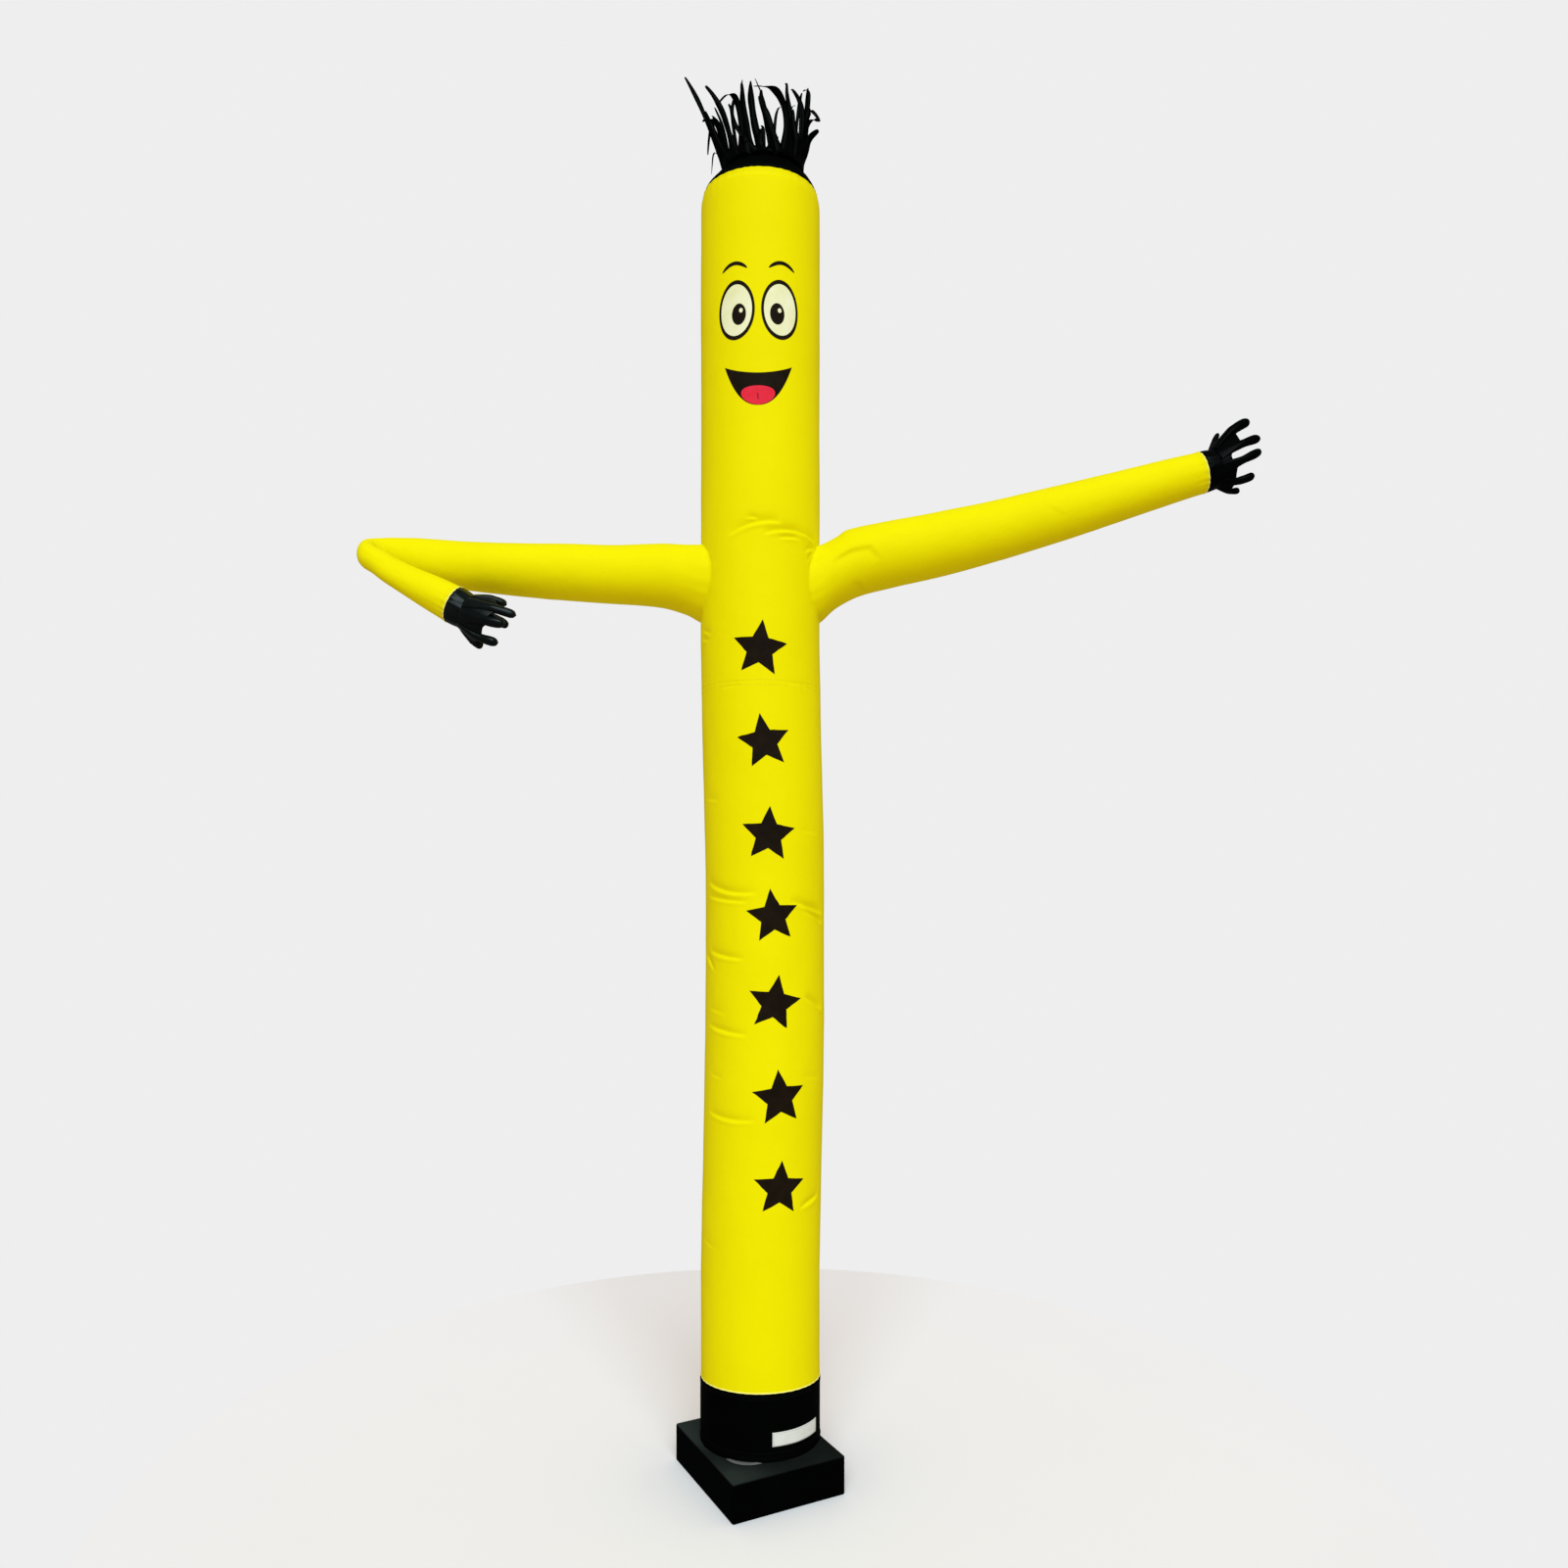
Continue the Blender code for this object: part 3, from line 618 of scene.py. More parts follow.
def cloth_material(name, dark, base, light, roughness, specular, weave=0.35):
    """Woven nylon: thread grid by the weave's UVs, uneven dye and slight slack in the cloth."""
    make = Shader(name)
    threads = make.weave()
    cloud, fine = make.noise(5.5, 3, 0.5), make.noise(60, 4, 0.6)
    blend = make.plus(make.times(cloud, 0.75), make.times(fine, 0.25))
    dyed = make.ramp(blend, ((0.30, dark), (0.50, base), (0.70, light)))
    woven = make.mix(make.times(threads, 0.10), dyed, dark)
    rough = make.plus(make.times(fine, 0.14), roughness - 0.07)
    crinkle = make.bump(fine, 0.10, 0.003, make.bump(cloud, 0.12, 0.02))
    return make.surface(woven, rough, specular, make.bump(threads, weave, 0.0003, crinkle))


def plastic_material(name, base, light, roughness, specular):
    """Moulded plastic with a fine grain, and a grey-green painted highlight (painted sheen) on its upper
    side.
    """
    make = Shader(name)
    grain, rubbed = make.noise(900, 2, 0.6), make.noise(14, 5, 0.65)
    plain = make.ramp(rubbed, ((0.42, base), (0.75, light)))
    # Painted highlight: faces that point up take the grey-green tone, most at the spots
    upward = make.maths("POWER", make.maths("MAXIMUM", make.split(make.facing)["Z"], 0.0), 2.0)
    spots = [make.times(make.glow(place, reach), thick) for place, reach, thick in PAINTED_SHEEN_SPOTS]
    painted_sheen = make.times(make.plus(make.plus(*spots), PAINTED_SHEEN_ALL_OVER), upward)
    painted_sheen = make.times(painted_sheen, make.plus(make.times(rubbed, 0.9), 0.5))
    rough = make.plus(make.times(rubbed, 0.22), roughness - 0.11)
    normal = make.bump(grain, 0.18, 0.0004, make.bump(rubbed, 0.05, 0.004))
    return make.surface(make.mix(painted_sheen, plain, PAINTED_SHEEN_TONE), rough, specular, normal)


def thread_material(name, base, light):
    """Twisted sewing thread."""
    make = Shader(name)
    twist = make.wave(make.place, 900, "DIAGONAL")
    tone = make.ramp(make.noise(40, 2), ((0.3, base), (0.7, light)))
    return make.surface(tone, 0.6, 0.2, make.bump(twist, 0.4, 0.0003))


def print_material(name, base, light, specular):
    """Ink on the weave: the threads show faintly through it."""
    make = Shader(name)
    inked = make.ramp(make.noise(30, 4, 0.6), ((0.35, base), (0.70, light)))
    return make.surface(inked, 0.5, specular, make.bump(make.weave(), 0.25, 0.0003))


def grey(value):
    return (value, value, value)


# Cloths: dark, plain and light tone, roughness, shine and how far the threads stand out
YELLOW = cloth_material(
    "yellow_nylon_cloth",
    (0.800, 0.726, 0.0004),
    (0.820, 0.748, 0.0006),
    (0.836, 0.766, 0.0010),
    0.50,
    0.016,
)
BLACK = cloth_material(
    "black_nylon_cloth",
    (0.0004, 0.0007, 0.0005),
    (0.0007, 0.0011, 0.0007),
    (0.0012, 0.0017, 0.0013),
    0.46,
    0.008,
)
GLOSS_BLACK = cloth_material(
    "black_coated_nylon",
    (0.0005, 0.0008, 0.0007),
    (0.0008, 0.0012, 0.0010),
    (0.0014, 0.0021, 0.0019),
    0.30,
    0.030,
    weave=0.10,
)
HAIR_BLACK = cloth_material(
    "black_hair_nylon",
    (0.0004, 0.0006, 0.0005),
    (0.0007, 0.0010, 0.0008),
    (0.0011, 0.0016, 0.0014),
    0.36,
    0.018,
    weave=0.10,
)
# The folded hand's cloth: the same black as the raised hand's, with real gloss, and a lighter, greener
# tone that is a painted highlight
PAINTED_SHEEN_BLACK = cloth_material(
    "black_nylon_painted_sheen",
    (0.0012, 0.0020, 0.0019),
    (0.0038, 0.0060, 0.0058),
    (0.0095, 0.0140, 0.0136),
    0.24,
    0.150,
    weave=0.06,
)
# Grey of the strip at the hem, a painted highlight
HEM_HIGHLIGHT_GREY = cloth_material(
    "grey_painted_hem_highlight", (0.060, 0.062, 0.064), (0.115, 0.118, 0.120), (0.180, 0.182, 0.184), 0.45, 0.10
)
LABEL = cloth_material(
    "white_label_cloth", (0.62, 0.64, 0.60), (0.69, 0.71, 0.67), (0.74, 0.76, 0.72), 0.6, 0.05
)
# Plastic, threads and inks: plain and light tone
HOUSING = plastic_material(
    "black_moulded_housing", (0.0005, 0.0007, 0.0006), (0.0010, 0.0013, 0.0012), 0.42, 0.006
)
YELLOW_THREAD = thread_material("yellow_thread", (0.72, 0.645, 0.003), (0.80, 0.73, 0.008))
# Pale yellow ridges: thread at the wrists' edges, a painted highlight along the sleeve's seam
PALE_THREAD_AND_HIGHLIGHT = thread_material("pale_yellow_thread_and_painted_highlight", (0.86, 0.82, 0.16), (0.92, 0.89, 0.26))
BLACK_THREAD = thread_material("black_thread", grey(0.002), grey(0.006))
GREY_THREAD = thread_material("grey_thread", grey(0.30), grey(0.40))
INK_BLACK = print_material("black_print", (0.0085, 0.0050, 0.0028), (0.0140, 0.0085, 0.0045), 0.03)
INK_WHITE = print_material("white_print", (0.76, 0.78, 0.44), (0.83, 0.85, 0.60), 0.05)
INK_RED = print_material("red_print", (0.70, 0.018, 0.045), (0.78, 0.030, 0.060), 0.05)


# The tube

BODY_COLUMNS = 192
FINE_STEP = 0.0020
TILT_REACH = 0.06
ARM_HOLE_SHARE = 0.93


def level_rows(low, high, step):
    """Levels from low to high, closer together across the creases."""
    levels = np.linspace(low, high, 6000)
    density = np.full_like(levels, 1 / step)
    for _, level_1, _, level_2, bow, _, width in CREASES + FINE_CREASES:
        bottom = min(level_1, level_2) - abs(bow) - 1.6 * width
        top = max(level_1, level_2) + abs(bow) + 2.2 * width
        density[(levels > bottom) & (levels < top)] = 1 / FINE_STEP
    count = np.concatenate([[0], np.cumsum((density[1:] + density[:-1]) / 2 * np.diff(levels))])
    rows = int(round(count[-1]))
    return np.interp(np.linspace(0, count[-1], rows + 1), count, levels)


def outside_arms(middles):
    """Which face middles lie outside the holes behind the arms."""
    inside = np.zeros(len(middles), bool)
    for rows, side in ((RAISED_ARM, 1), (FOLDED_ARM, -1)):
        middle_z, half_z, half_y = rows[1][2:5]
        across, up = middles[:, 1] / half_y, (middles[:, 2] - middle_z) / half_z
        inside |= (np.hypot(across, up) < ARM_HOLE_SHARE) & (middles[:, 0] * side > 0.03)
    return ~inside


def body_sheet(name, low, high, step, tilt=0.0, keep=None):
    azimuth, level = np.meshgrid(np.linspace(-180, 180, BODY_COLUMNS + 1), level_rows(low, high, step))
    level = level + tilt * np.cos(np.radians(azimuth)) * (1 - rising(level, low, low + TILT_REACH))
    uv = pairs(np.radians(azimuth) * TUBE_RADIUS, level)
    return ring_sheet(name, body_points(azimuth, level), YELLOW, uv, keep)


lower = declare(
    body_sheet("body_cloth", SLEEVE_SEAM, WAIST_SEAM, 0.0052, SLEEVE_SEAM_TILT),
    "yellow_nylon",
    "tube_lower",
)
upper = declare(
    body_sheet("chest_and_head_cloth", WAIST_SEAM, HEAD_RIM, 0.0046, keep=outside_arms),
    "yellow_nylon",
    "tube_upper",
)


# Seams and stitches

RING_AZIMUTHS = np.linspace(-180, 180, 241)
# A stitch: places along it as shares of its length with how full it is there, and its
# cross-section in halves of its width and in heights. Its ends are closed by two faces
STITCH_RINGS = ((-0.5, 0.45), (-0.3, 1.0), (0.3, 1.0), (0.5, 0.45))
STITCH_SECTION = ((1, -0.4), (0.6, 1), (-0.6, 1), (-1, -0.4))
STITCH_ENDS = ((3, 2, 1, 0), (12, 13, 14, 15))


def sweep(name, path, width, height, material, closed=True):
    """A low rounded ridge along a path, given as points with their normals."""
    points, normals = path
    if closed:
        along = unit(np.roll(points, -1, axis=0) - np.roll(points, 1, axis=0))
    else:
        along = unit(np.gradient(points, axis=0))
    normals = square_to(along, normals)
    across = np.cross(along, normals)
    foot = -height * 0.6
    profile = [(math.cos(a) * width / 2, math.sin(a) * height) for a in np.linspace(0, np.pi, 6)]
    profile = [(width / 2, foot), *profile, (-width / 2, foot)]
    rows = np.stack([points + across * a + normals * b for a, b in profile], axis=1)
    count, columns = rows.shape[:2]
    faces = grid_faces(count + closed, columns, True) % (count * columns)
    uv = pairs(lengths_along(points)[:, None], np.arange(columns) * width / 6)
    return mesh_object(name, rows, faces, material, uv)


def stitches(name, paths, material, pitch=0.0055, length=0.0036, width=0.0009, height=0.0005):
    """Short raised stitches along paths, each given as points with their normals."""
    stitched = []
    for path, normals in paths:
        walked = lengths_along(path)
        starts = np.arange(pitch / 2, walked[-1] - length / 2, pitch)

        def at(values, distance):
            return np.stack([np.interp(distance, walked, column) for column in values.T], axis=-1)

        middle = at(path, starts)
        along = unit(at(path, starts + length / 2) - middle)
        out = unit(at(normals, starts))
        across = np.cross(along, out)
        corners = [
            middle + along * place * length + (across * a * width / 2 + out * b * height) * full
            for place, full in STITCH_RINGS
            for a, b in STITCH_SECTION
        ]
        stitched.append(np.stack(corners, axis=1))
    points = np.concatenate(stitched)
    one = np.vstack([grid_faces(4, 4, True), STITCH_ENDS])
    faces = np.arange(len(points))[:, None, None] * len(points[0]) + one
    return mesh_object(name, points, faces.reshape(-1, 4), material, points[..., :2])


def body_loop(level, tilt=0.0):
    """A ring on the tube, lower at its back where it is tilted, with its normals."""
    azimuths = RING_AZIMUTHS[:-1]
    return body_points(azimuths, level + tilt * np.cos(np.radians(azimuths))), outward(azimuths)


def back_line(azimuth=179.0):
    """The line of the long seam down the back, with its normals."""
    levels = np.linspace(SLEEVE_SEAM + 0.002, HEAD_RIM - 0.006, 600)
    azimuths = np.full_like(levels, azimuth)
    return body_points(azimuths, levels), outward(azimuths)


def closed_path(path):
    return tuple(np.vstack([given, given[:1]]) for given in path)


def set_off(path, across, lift=0.0002):
    """A closed path moved sideways on its surface and a little off it."""
    points, normals = path
    along = unit(np.roll(points, -1, axis=0) - np.roll(points, 1, axis=0))
    return points + np.cross(along, normals) * across + normals * lift, normals


# Arms

ARM_COLUMNS = 128
ARM_STEP = 0.0048
ARM_LOOP = 160
ARM_ROOT_REACH = 0.045
# Folds of the arms: distance along and angle round from the top of both ends, depth and
# width. Each sinks at once past its line and comes back slowly
RAISED_CREASES = (
    (0.082, 1.36, 0.180, 1.44, 0.0040, 0.0075),
    (0.170, 1.40, 0.190, 1.95, 0.0022, 0.0060),
    (0.136, 2.30, 0.158, 3.30, 0.0022, 0.0060),
    (0.066, 0.90, 0.100, 1.20, 0.0012, 0.0050),
    (0.560, 1.30, 0.600, 1.90, 0.0008, 0.0050),
)
FOLDED_CREASES = (
    (0.075, -2.10, 0.110, -2.70, 0.0012, 0.0050),
    (0.660, 2.60, 0.690, 3.30, 0.0020, 0.0060),
    (0.700, 2.70, 0.722, 3.40, 0.0022, 0.0055),
    (0.868, 2.50, 0.880, 3.30, 0.0018, 0.0055),
    (0.905, 2.60, 0.925, 3.20, 0.0014, 0.0055),
)


class Arm:
    """The fine surface of an arm through the solid's rings. Its root is trimmed to the tube."""

    def __init__(self, rows, up_hint, seed, creases):
        rows = np.array(rows, float)
        self.seed, self.creases = seed, creases
        self.mean_height = float(rows[:, 3].mean())
        along = unit(np.gradient(rows[:, :3], axis=0))
        along[: len(ROOT_TURNS), 2] *= ROOT_TURNS
        along = unit(along)
        up = square_to(along, up_hint)
        rings = np.hstack([rows[:, :3], up * rows[:, 3:4], np.cross(along, up) * rows[:, 4:5]])
        self.fine = hermite(rings, np.linspace(0, 1, 2400))
        self.lengths = lengths_along(self.fine[:, :3])
        self.length = self.lengths[-1]

    def at(self, distance):
        """Axis, up, side and half sizes at distances along the arm."""
        values = [np.interp(distance, self.lengths, column) for column in self.fine.T]
        axis, up, side = (np.stack(values[k : k + 3], axis=-1) for k in (0, 3, 6))
        height, depth = np.linalg.norm(up, axis=-1), np.linalg.norm(side, axis=-1)
        return axis, unit(up), unit(side), height, depth

    def points(self, distance, angle):
        axis, up, side, height, depth = self.at(distance)
        relief = self.relief(distance, angle, height)
        high, wide = (height + relief) * np.cos(angle), (depth + relief) * np.sin(angle)
        return axis + up * high[..., None] + side * wide[..., None]

    def normals(self, distance, angle):
        _, up, side, _, _ = self.at(distance)
        return up * np.cos(angle)[..., None] + side * np.sin(angle)[..., None]

    def relief(self, distance, angle, height):
        """Slack, creases and gathers of the cloth, as a height off the plain surface."""
        turned = angle / FULL_TURN
        relief = slack(turned, distance, ((0.0006, 7, 11, self.seed), (0.0002, 22, 34, self.seed + 1)))
        for distance_1, angle_1, distance_2, angle_2, depth, width in self.creases:
            line = np.array((distance_2 - distance_1, (angle_2 - angle_1) * 0.06))
            long = np.hypot(*line)
            line /= long
            turn = np.angle(np.exp(1j * (angle - angle_1))) * height
            share = ((distance - distance_1) * line[0] + turn * line[1]) / long
            away = ((distance - distance_1) * -line[1] + turn * line[0]) / width
            relief -= depth * np.sin(np.pi * np.clip(share, 0, 1)) ** 0.6 * fold(away)
        at_wrist = fading(self.length - distance, 0.014)
        at_root = fading(distance - ARM_ROOT_REACH, 0.015)
        relief += 0.0007 * gathers(turned, 19, 2, 9, self.seed + 2) * at_wrist
        return relief + 0.0003 * gathers(turned, 15, 2, 11, self.seed + 3) * at_root

    def root_start(self, angles):
        """How far along the arm each line of its surface leaves the tube."""
        starts = []
        steps = np.linspace(0, 0.16, 400)
        for angle in angles:
            line = self.points(steps, np.full_like(steps, angle))
            azimuth = np.degrees(np.arctan2(line[:, 0], -line[:, 1]))
            away = np.hypot(line[:, 0], line[:, 1]) - body_radius(azimuth, line[:, 2])
            first = max(int(np.argmax(away > 0)), 1)
            share = -away[first - 1] / (away[first] - away[first - 1])
            starts.append(steps[first - 1] + (steps[1] - steps[0]) * share)
        return np.array(starts)

    def sheet(self, name):
        angles = np.linspace(0, FULL_TURN, ARM_COLUMNS + 1)
        starts = self.root_start(angles[:-1])
        starts = np.append(starts, starts[0])
        rows = int(round((self.length - starts.min()) / ARM_STEP)) + 1
        distance = starts + (self.length - starts) * np.linspace(0, 1, rows)[:, None]
        angle = np.broadcast_to(angles, distance.shape)
        uv = pairs(angle * self.mean_height, distance)
        return ring_sheet(name, self.points(distance, angle), YELLOW, uv)

    def loop(self, back):
        """A ring round the arm, back metres from its wrist, with its normals."""
        angles = ring_angles(ARM_LOOP)
        distance = np.full_like(angles, self.length - back)
        return self.points(distance, angles), self.normals(distance, angles)

    def root_loop(self):
        """The line where the arm leaves the tube, with normals half way between the two."""
        angles = ring_angles(ARM_LOOP)
        starts = self.root_start(angles)
        points = self.points(starts, angles)
        return points, unit(unit(points * (1, 1, 0)) + self.normals(starts, angles))


raised = Arm(RAISED_ARM, RAISED_UP, 41, RAISED_CREASES)
folded = Arm(FOLDED_ARM, FOLDED_UP, 51, FOLDED_CREASES)
raised_cloth = declare(raised.sheet("raised_arm_cloth"), "yellow_nylon", "arm_raised")
folded_cloth = declare(folded.sheet("folded_arm_cloth"), "yellow_nylon", "arm_folded")

# Ridges of the seams and edges: what they follow, width, height, material and if they close
RIDGES = {
    "raised_wrist_edge": (raised.loop(0.0014), 0.0028, 0.0010, PALE_THREAD_AND_HIGHLIGHT),
    "folded_wrist_edge": (folded.loop(0.0014), 0.0028, 0.0010, PALE_THREAD_AND_HIGHLIGHT),
    "raised_arm_seam": (raised.root_loop(), 0.0050, 0.0013, YELLOW),
    "folded_arm_seam": (folded.root_loop(), 0.0050, 0.0013, YELLOW),
    "waist_seam": (body_loop(WAIST_SEAM), 0.0070, 0.0002, YELLOW),
    "head_rim_seam": (body_loop(HEAD_RIM - 0.0035), 0.0050, 0.0009, YELLOW),
    "back_seam": (back_line(), 0.0090, 0.0008, YELLOW, False),
    # A pale ridge along the sleeve's seam: a painted highlight
    "sleeve_seam_painted_highlight": (body_loop(SLEEVE_SEAM + 0.0013, SLEEVE_SEAM_TILT), 0.0030, 0.0014, PALE_THREAD_AND_HIGHLIGHT),
}
ridges = {name: declare(sweep(name, *given), "yellow_nylon") for name, given in RIDGES.items()}


def yellow_paths():
    """Lines of stitches beside the seams, two for most."""
    rings = []
    for arm in (raised, folded):
        rings += [set_off(arm.root_loop(), across) for across in (0.0045, -0.0045)]
        rings += [arm.loop(back) for back in (0.006, 0.011)]
    for level in (WAIST_SEAM - 0.0055, WAIST_SEAM + 0.0055, HEAD_RIM - 0.009, HEAD_RIM - 0.015):
        rings.append(body_loop(level))
    rings.append(body_loop(SLEEVE_SEAM + 0.007, SLEEVE_SEAM_TILT))
    points, out = back_line()
    beside = [(points + (shift, 0, 0) + out * 0.0007, out) for shift in (-0.0028, 0.0028)]
    return [closed_path(ring) for ring in rings] + beside


yellow_stitches = declare(
    stitches("yellow_stitches", yellow_paths(), YELLOW_THREAD, 0.0042, 0.0032, 0.0008, 0.00025),
    "yellow_nylon",
)


# Black sleeve

SLEEVE_FOOT = BASE_SIZE[2] + 0.0003
SLEEVE_STITCH_LEVEL = 0.1005
# Where the hem is slack: azimuth, half width, how much
HEM_SLACK = ((-14, 17, 1.0), (150, 25, 0.5))
# The hem's roll and the groove over it: depth, more where slack, height and reach
HEM_FOLDS = ((0.0012, 0.0022, 0.0035, 0.0050), (-0.0004, -0.0010, 0.0150, 0.0045))
HEM_GATHER = 0.0003
# A pale strip at the hem's front, a painted highlight: the azimuths it spans, its width, arch, radius
# and level
HEM_HIGHLIGHT_AZIMUTHS = (-31, 3)
HEM_HIGHLIGHT_WIDTH = 0.0125
HEM_HIGHLIGHT_ARCH = 0.0036
HEM_HIGHLIGHT_RADIUS = SLEEVE_RADIUS + 0.0042
HEM_HIGHLIGHT_LEVEL = BASE_SIZE[2] + 0.0014


def sleeve_top(azimuth):
    return SLEEVE_SEAM + SLEEVE_SEAM_TILT * np.cos(np.radians(azimuth))


def sleeve_points(azimuth, level, lift=0.0):
    """The sleeve, whose hem is slack at its front and lifts there in a low fold."""
    turned, up = azimuth / 360, level - SLEEVE_FOOT
    loose = sum(share * bell(azimuth - middle, width) for middle, width, share in HEM_SLACK)
    radius = SLEEVE_RADIUS + HEM_GATHER * gathers(turned, 31, 3, 15, 61) * fading(up - 0.012, 0.016)
    for depth, more, height, reach in HEM_FOLDS:
        radius += (depth + more * loose) * bell(up - height, reach)
    radius += slack(turned, level, ((0.0008, 7, 17, 63),))
    radius += 0.0004 * bell(level - sleeve_top(azimuth) + 0.006, 0.005)
    return round_axis(azimuth, radius + lift, level)


def sleeve_sheet():
    azimuth, share = np.meshgrid(np.linspace(-180, 180, 193), np.linspace(0, 1, 64))
    level = SLEEVE_FOOT + (sleeve_top(azimuth) - 0.0003 - SLEEVE_FOOT) * share
    uv = pairs(np.radians(azimuth) * SLEEVE_RADIUS, level)
    return ring_sheet("sleeve_cloth", sleeve_points(azimuth, level), BLACK, uv)


def painted_hem_highlight():
    """A pale grey strip at the hem's slack front: a painted highlight on the folded hem."""
    azimuth, share = np.meshgrid(np.linspace(*HEM_HIGHLIGHT_AZIMUTHS, 60), np.linspace(0, 1, 7))
    wide = HEM_HIGHLIGHT_WIDTH * np.sin(np.pi * rising(azimuth, *HEM_HIGHLIGHT_AZIMUTHS)) ** 0.8
    arch = HEM_HIGHLIGHT_ARCH * np.sin(np.pi * (0.12 + 0.80 * share)) * rising(wide, 0, 0.006)
    points = round_axis(azimuth, HEM_HIGHLIGHT_RADIUS + wide * share, HEM_HIGHLIGHT_LEVEL + arch)
    uv = pairs(np.radians(azimuth) * SLEEVE_RADIUS, wide * share)
    return grid_sheet("painted_hem_highlight", points, HEM_HIGHLIGHT_GREY, uv)


sleeve = declare(sleeve_sheet(), "black_nylon", "base_sleeve")
hem_highlight = declare(painted_hem_highlight(), "black_nylon")


def sleeve_line(levels):
    return sleeve_points(RING_AZIMUTHS, levels + 0 * RING_AZIMUTHS), outward(RING_AZIMUTHS)


black_paths = [sleeve_line(sleeve_top(RING_AZIMUTHS) - below) for below in (0.006, 0.011)]
black_paths.append(sleeve_line(SLEEVE_STITCH_LEVEL))


# Label

LABEL_AZIMUTHS = (12.2, 64.8)
LABEL_LEVELS = (0.1138, 0.1437)
LABEL_LIFT = 0.0012
LABEL_THICKNESS = 0.0009
LABEL_STITCHED = ((13.4, 0.1158), (63.6, 0.1158), (63.6, 0.1417), (13.4, 0.1417), (13.4, 0.1158))


def make_label():
    azimuth, level = np.meshgrid(np.linspace(*LABEL_AZIMUTHS, 60), np.linspace(*LABEL_LEVELS, 18))
    from_side = np.minimum(azimuth - LABEL_AZIMUTHS[0], LABEL_AZIMUTHS[1] - azimuth) / 1.6
    from_edge = np.minimum(level - LABEL_LEVELS[0], LABEL_LEVELS[1] - level) / 0.002
    lift = LABEL_LIFT + 0.0007 * np.clip(np.minimum(from_side, from_edge), 0, 1)
    points = sleeve_points(azimuth, level, lift + 0.0004 * value_noise(azimuth / 9, level * 120, 71))
    uv = pairs(np.radians(azimuth) * SLEEVE_RADIUS, level)
    made = grid_sheet("blank_label", points, LABEL, uv)
    thicken(made, LABEL_THICKNESS)
    return made


def label_path():
    """The line of stitches round the label, just inside its edge."""
    corners = np.array(LABEL_STITCHED)
    shares = np.linspace(0, 1, 40)[:-1, None]
    azimuth, level = np.vstack([a + (b - a) * shares for a, b in zip(corners, corners[1:])]).T
    return sleeve_points(azimuth, level, 0.0021), outward(azimuth)


label = declare(make_label(), "label", "sleeve_label")
label_stitches = declare(
    stitches("label_stitches", [label_path()], GREY_THREAD, 0.0034, 0.0025, 0.0009, 0.0003), "label"
)


# Crown

FLUTES = 22
FLUTE_DEPTH = 0.0017
# Levels over which the flutes begin to grow, and then to fade
FLUTE_ENDS = (2.799, 2.838)
CROWN_TOP = 2.842
# The cap's mean radius and its length up the slope, for its UVs
CROWN_UV = (0.11, 0.12)
CROWN_STITCHES = (0.16, 0.20)


def crown_points(azimuth, shares):
    """The cap over the head: gathered to its neck, with soft flutes between the locks."""
    level, radius = hermite(CROWN, shares.ravel()).T.reshape(2, *shares.shape)
    turned = azimuth / 360
    uneven = 1.5 * value_noise(turned * 11, 0.0, 83, 11)
    flute = FLUTE_DEPTH * np.cos(np.radians(azimuth) * FLUTES + uneven)
    flute *= rising(level, FLUTE_ENDS[0], FLUTE_ENDS[0] + 0.025)
    flute *= 1 - 0.85 * rising(level, FLUTE_ENDS[1], FLUTE_ENDS[1] + 0.008)
    loose = slack(turned, level, ((0.0009, 13, 60, 81),)) * rising(level, HEAD_RIM, HEAD_RIM + 0.01)
    lean = NECK_CENTRE_X * rising(level, HEAD_RIM, CROWN_TOP)
    return round_axis(azimuth, radius + flute + loose, level, lean)


def crown_sheet():
    azimuth, share = np.meshgrid(np.linspace(-180, 180, 265), np.linspace(0, 1, 56))
    uv = pairs(np.radians(azimuth) * CROWN_UV[0], share * CROWN_UV[1])
    return ring_sheet("crown_cloth", crown_points(azimuth, share), BLACK, uv)


crown = declare(crown_sheet(), "black_nylon", "crown_cap")
for share in CROWN_STITCHES:
    line = crown_points(RING_AZIMUTHS, np.full_like(RING_AZIMUTHS, share))
    black_paths.append((line, outward(RING_AZIMUTHS)))


# Hair

HAIR_BAND = (
    (0.0, 0.0797),
    (0.0006, 0.0815),
    (0.004, 0.0821),
    (0.009, 0.0822),
    (0.0125, 0.0822),
    (0.0135, 0.0806),
)
# Where the locks start, from the middle of the neck's top: out and up
HAIR_ROOT = (0.0826, -0.0125)
HAIR_THICKNESS = 0.0009
# Share of a lock that is its petal, and how narrow the locks are behind an azimuth
PETAL_LENGTH = 0.22
BACK_AZIMUTH = 92
BACK_WIDTH = 0.62
# Outline of a lock's cross-section: across in halves, out in cups and in thicknesses
LOCK_OUTLINE = (
    (-1, 0, 0),
    (-0.5, 0.75, 0),
    (0, 1, 0),
    (0.5, 0.75, 0),
    (1, 0, 0),
    (0.5, 0.75, -1),
    (0, 1, -1),
    (-0.5, 0.75, -1),
)


def parabola(root, middle, tip, share):
    """Points and directions of a curve through three points."""
    control = 2 * middle - (root + tip) / 2
    share = share[:, None]
    back = 1 - share
    point = back * back * root + 2 * back * share * control + share * share * tip
    return point, unit(back * (control - root) + share * (tip - control))


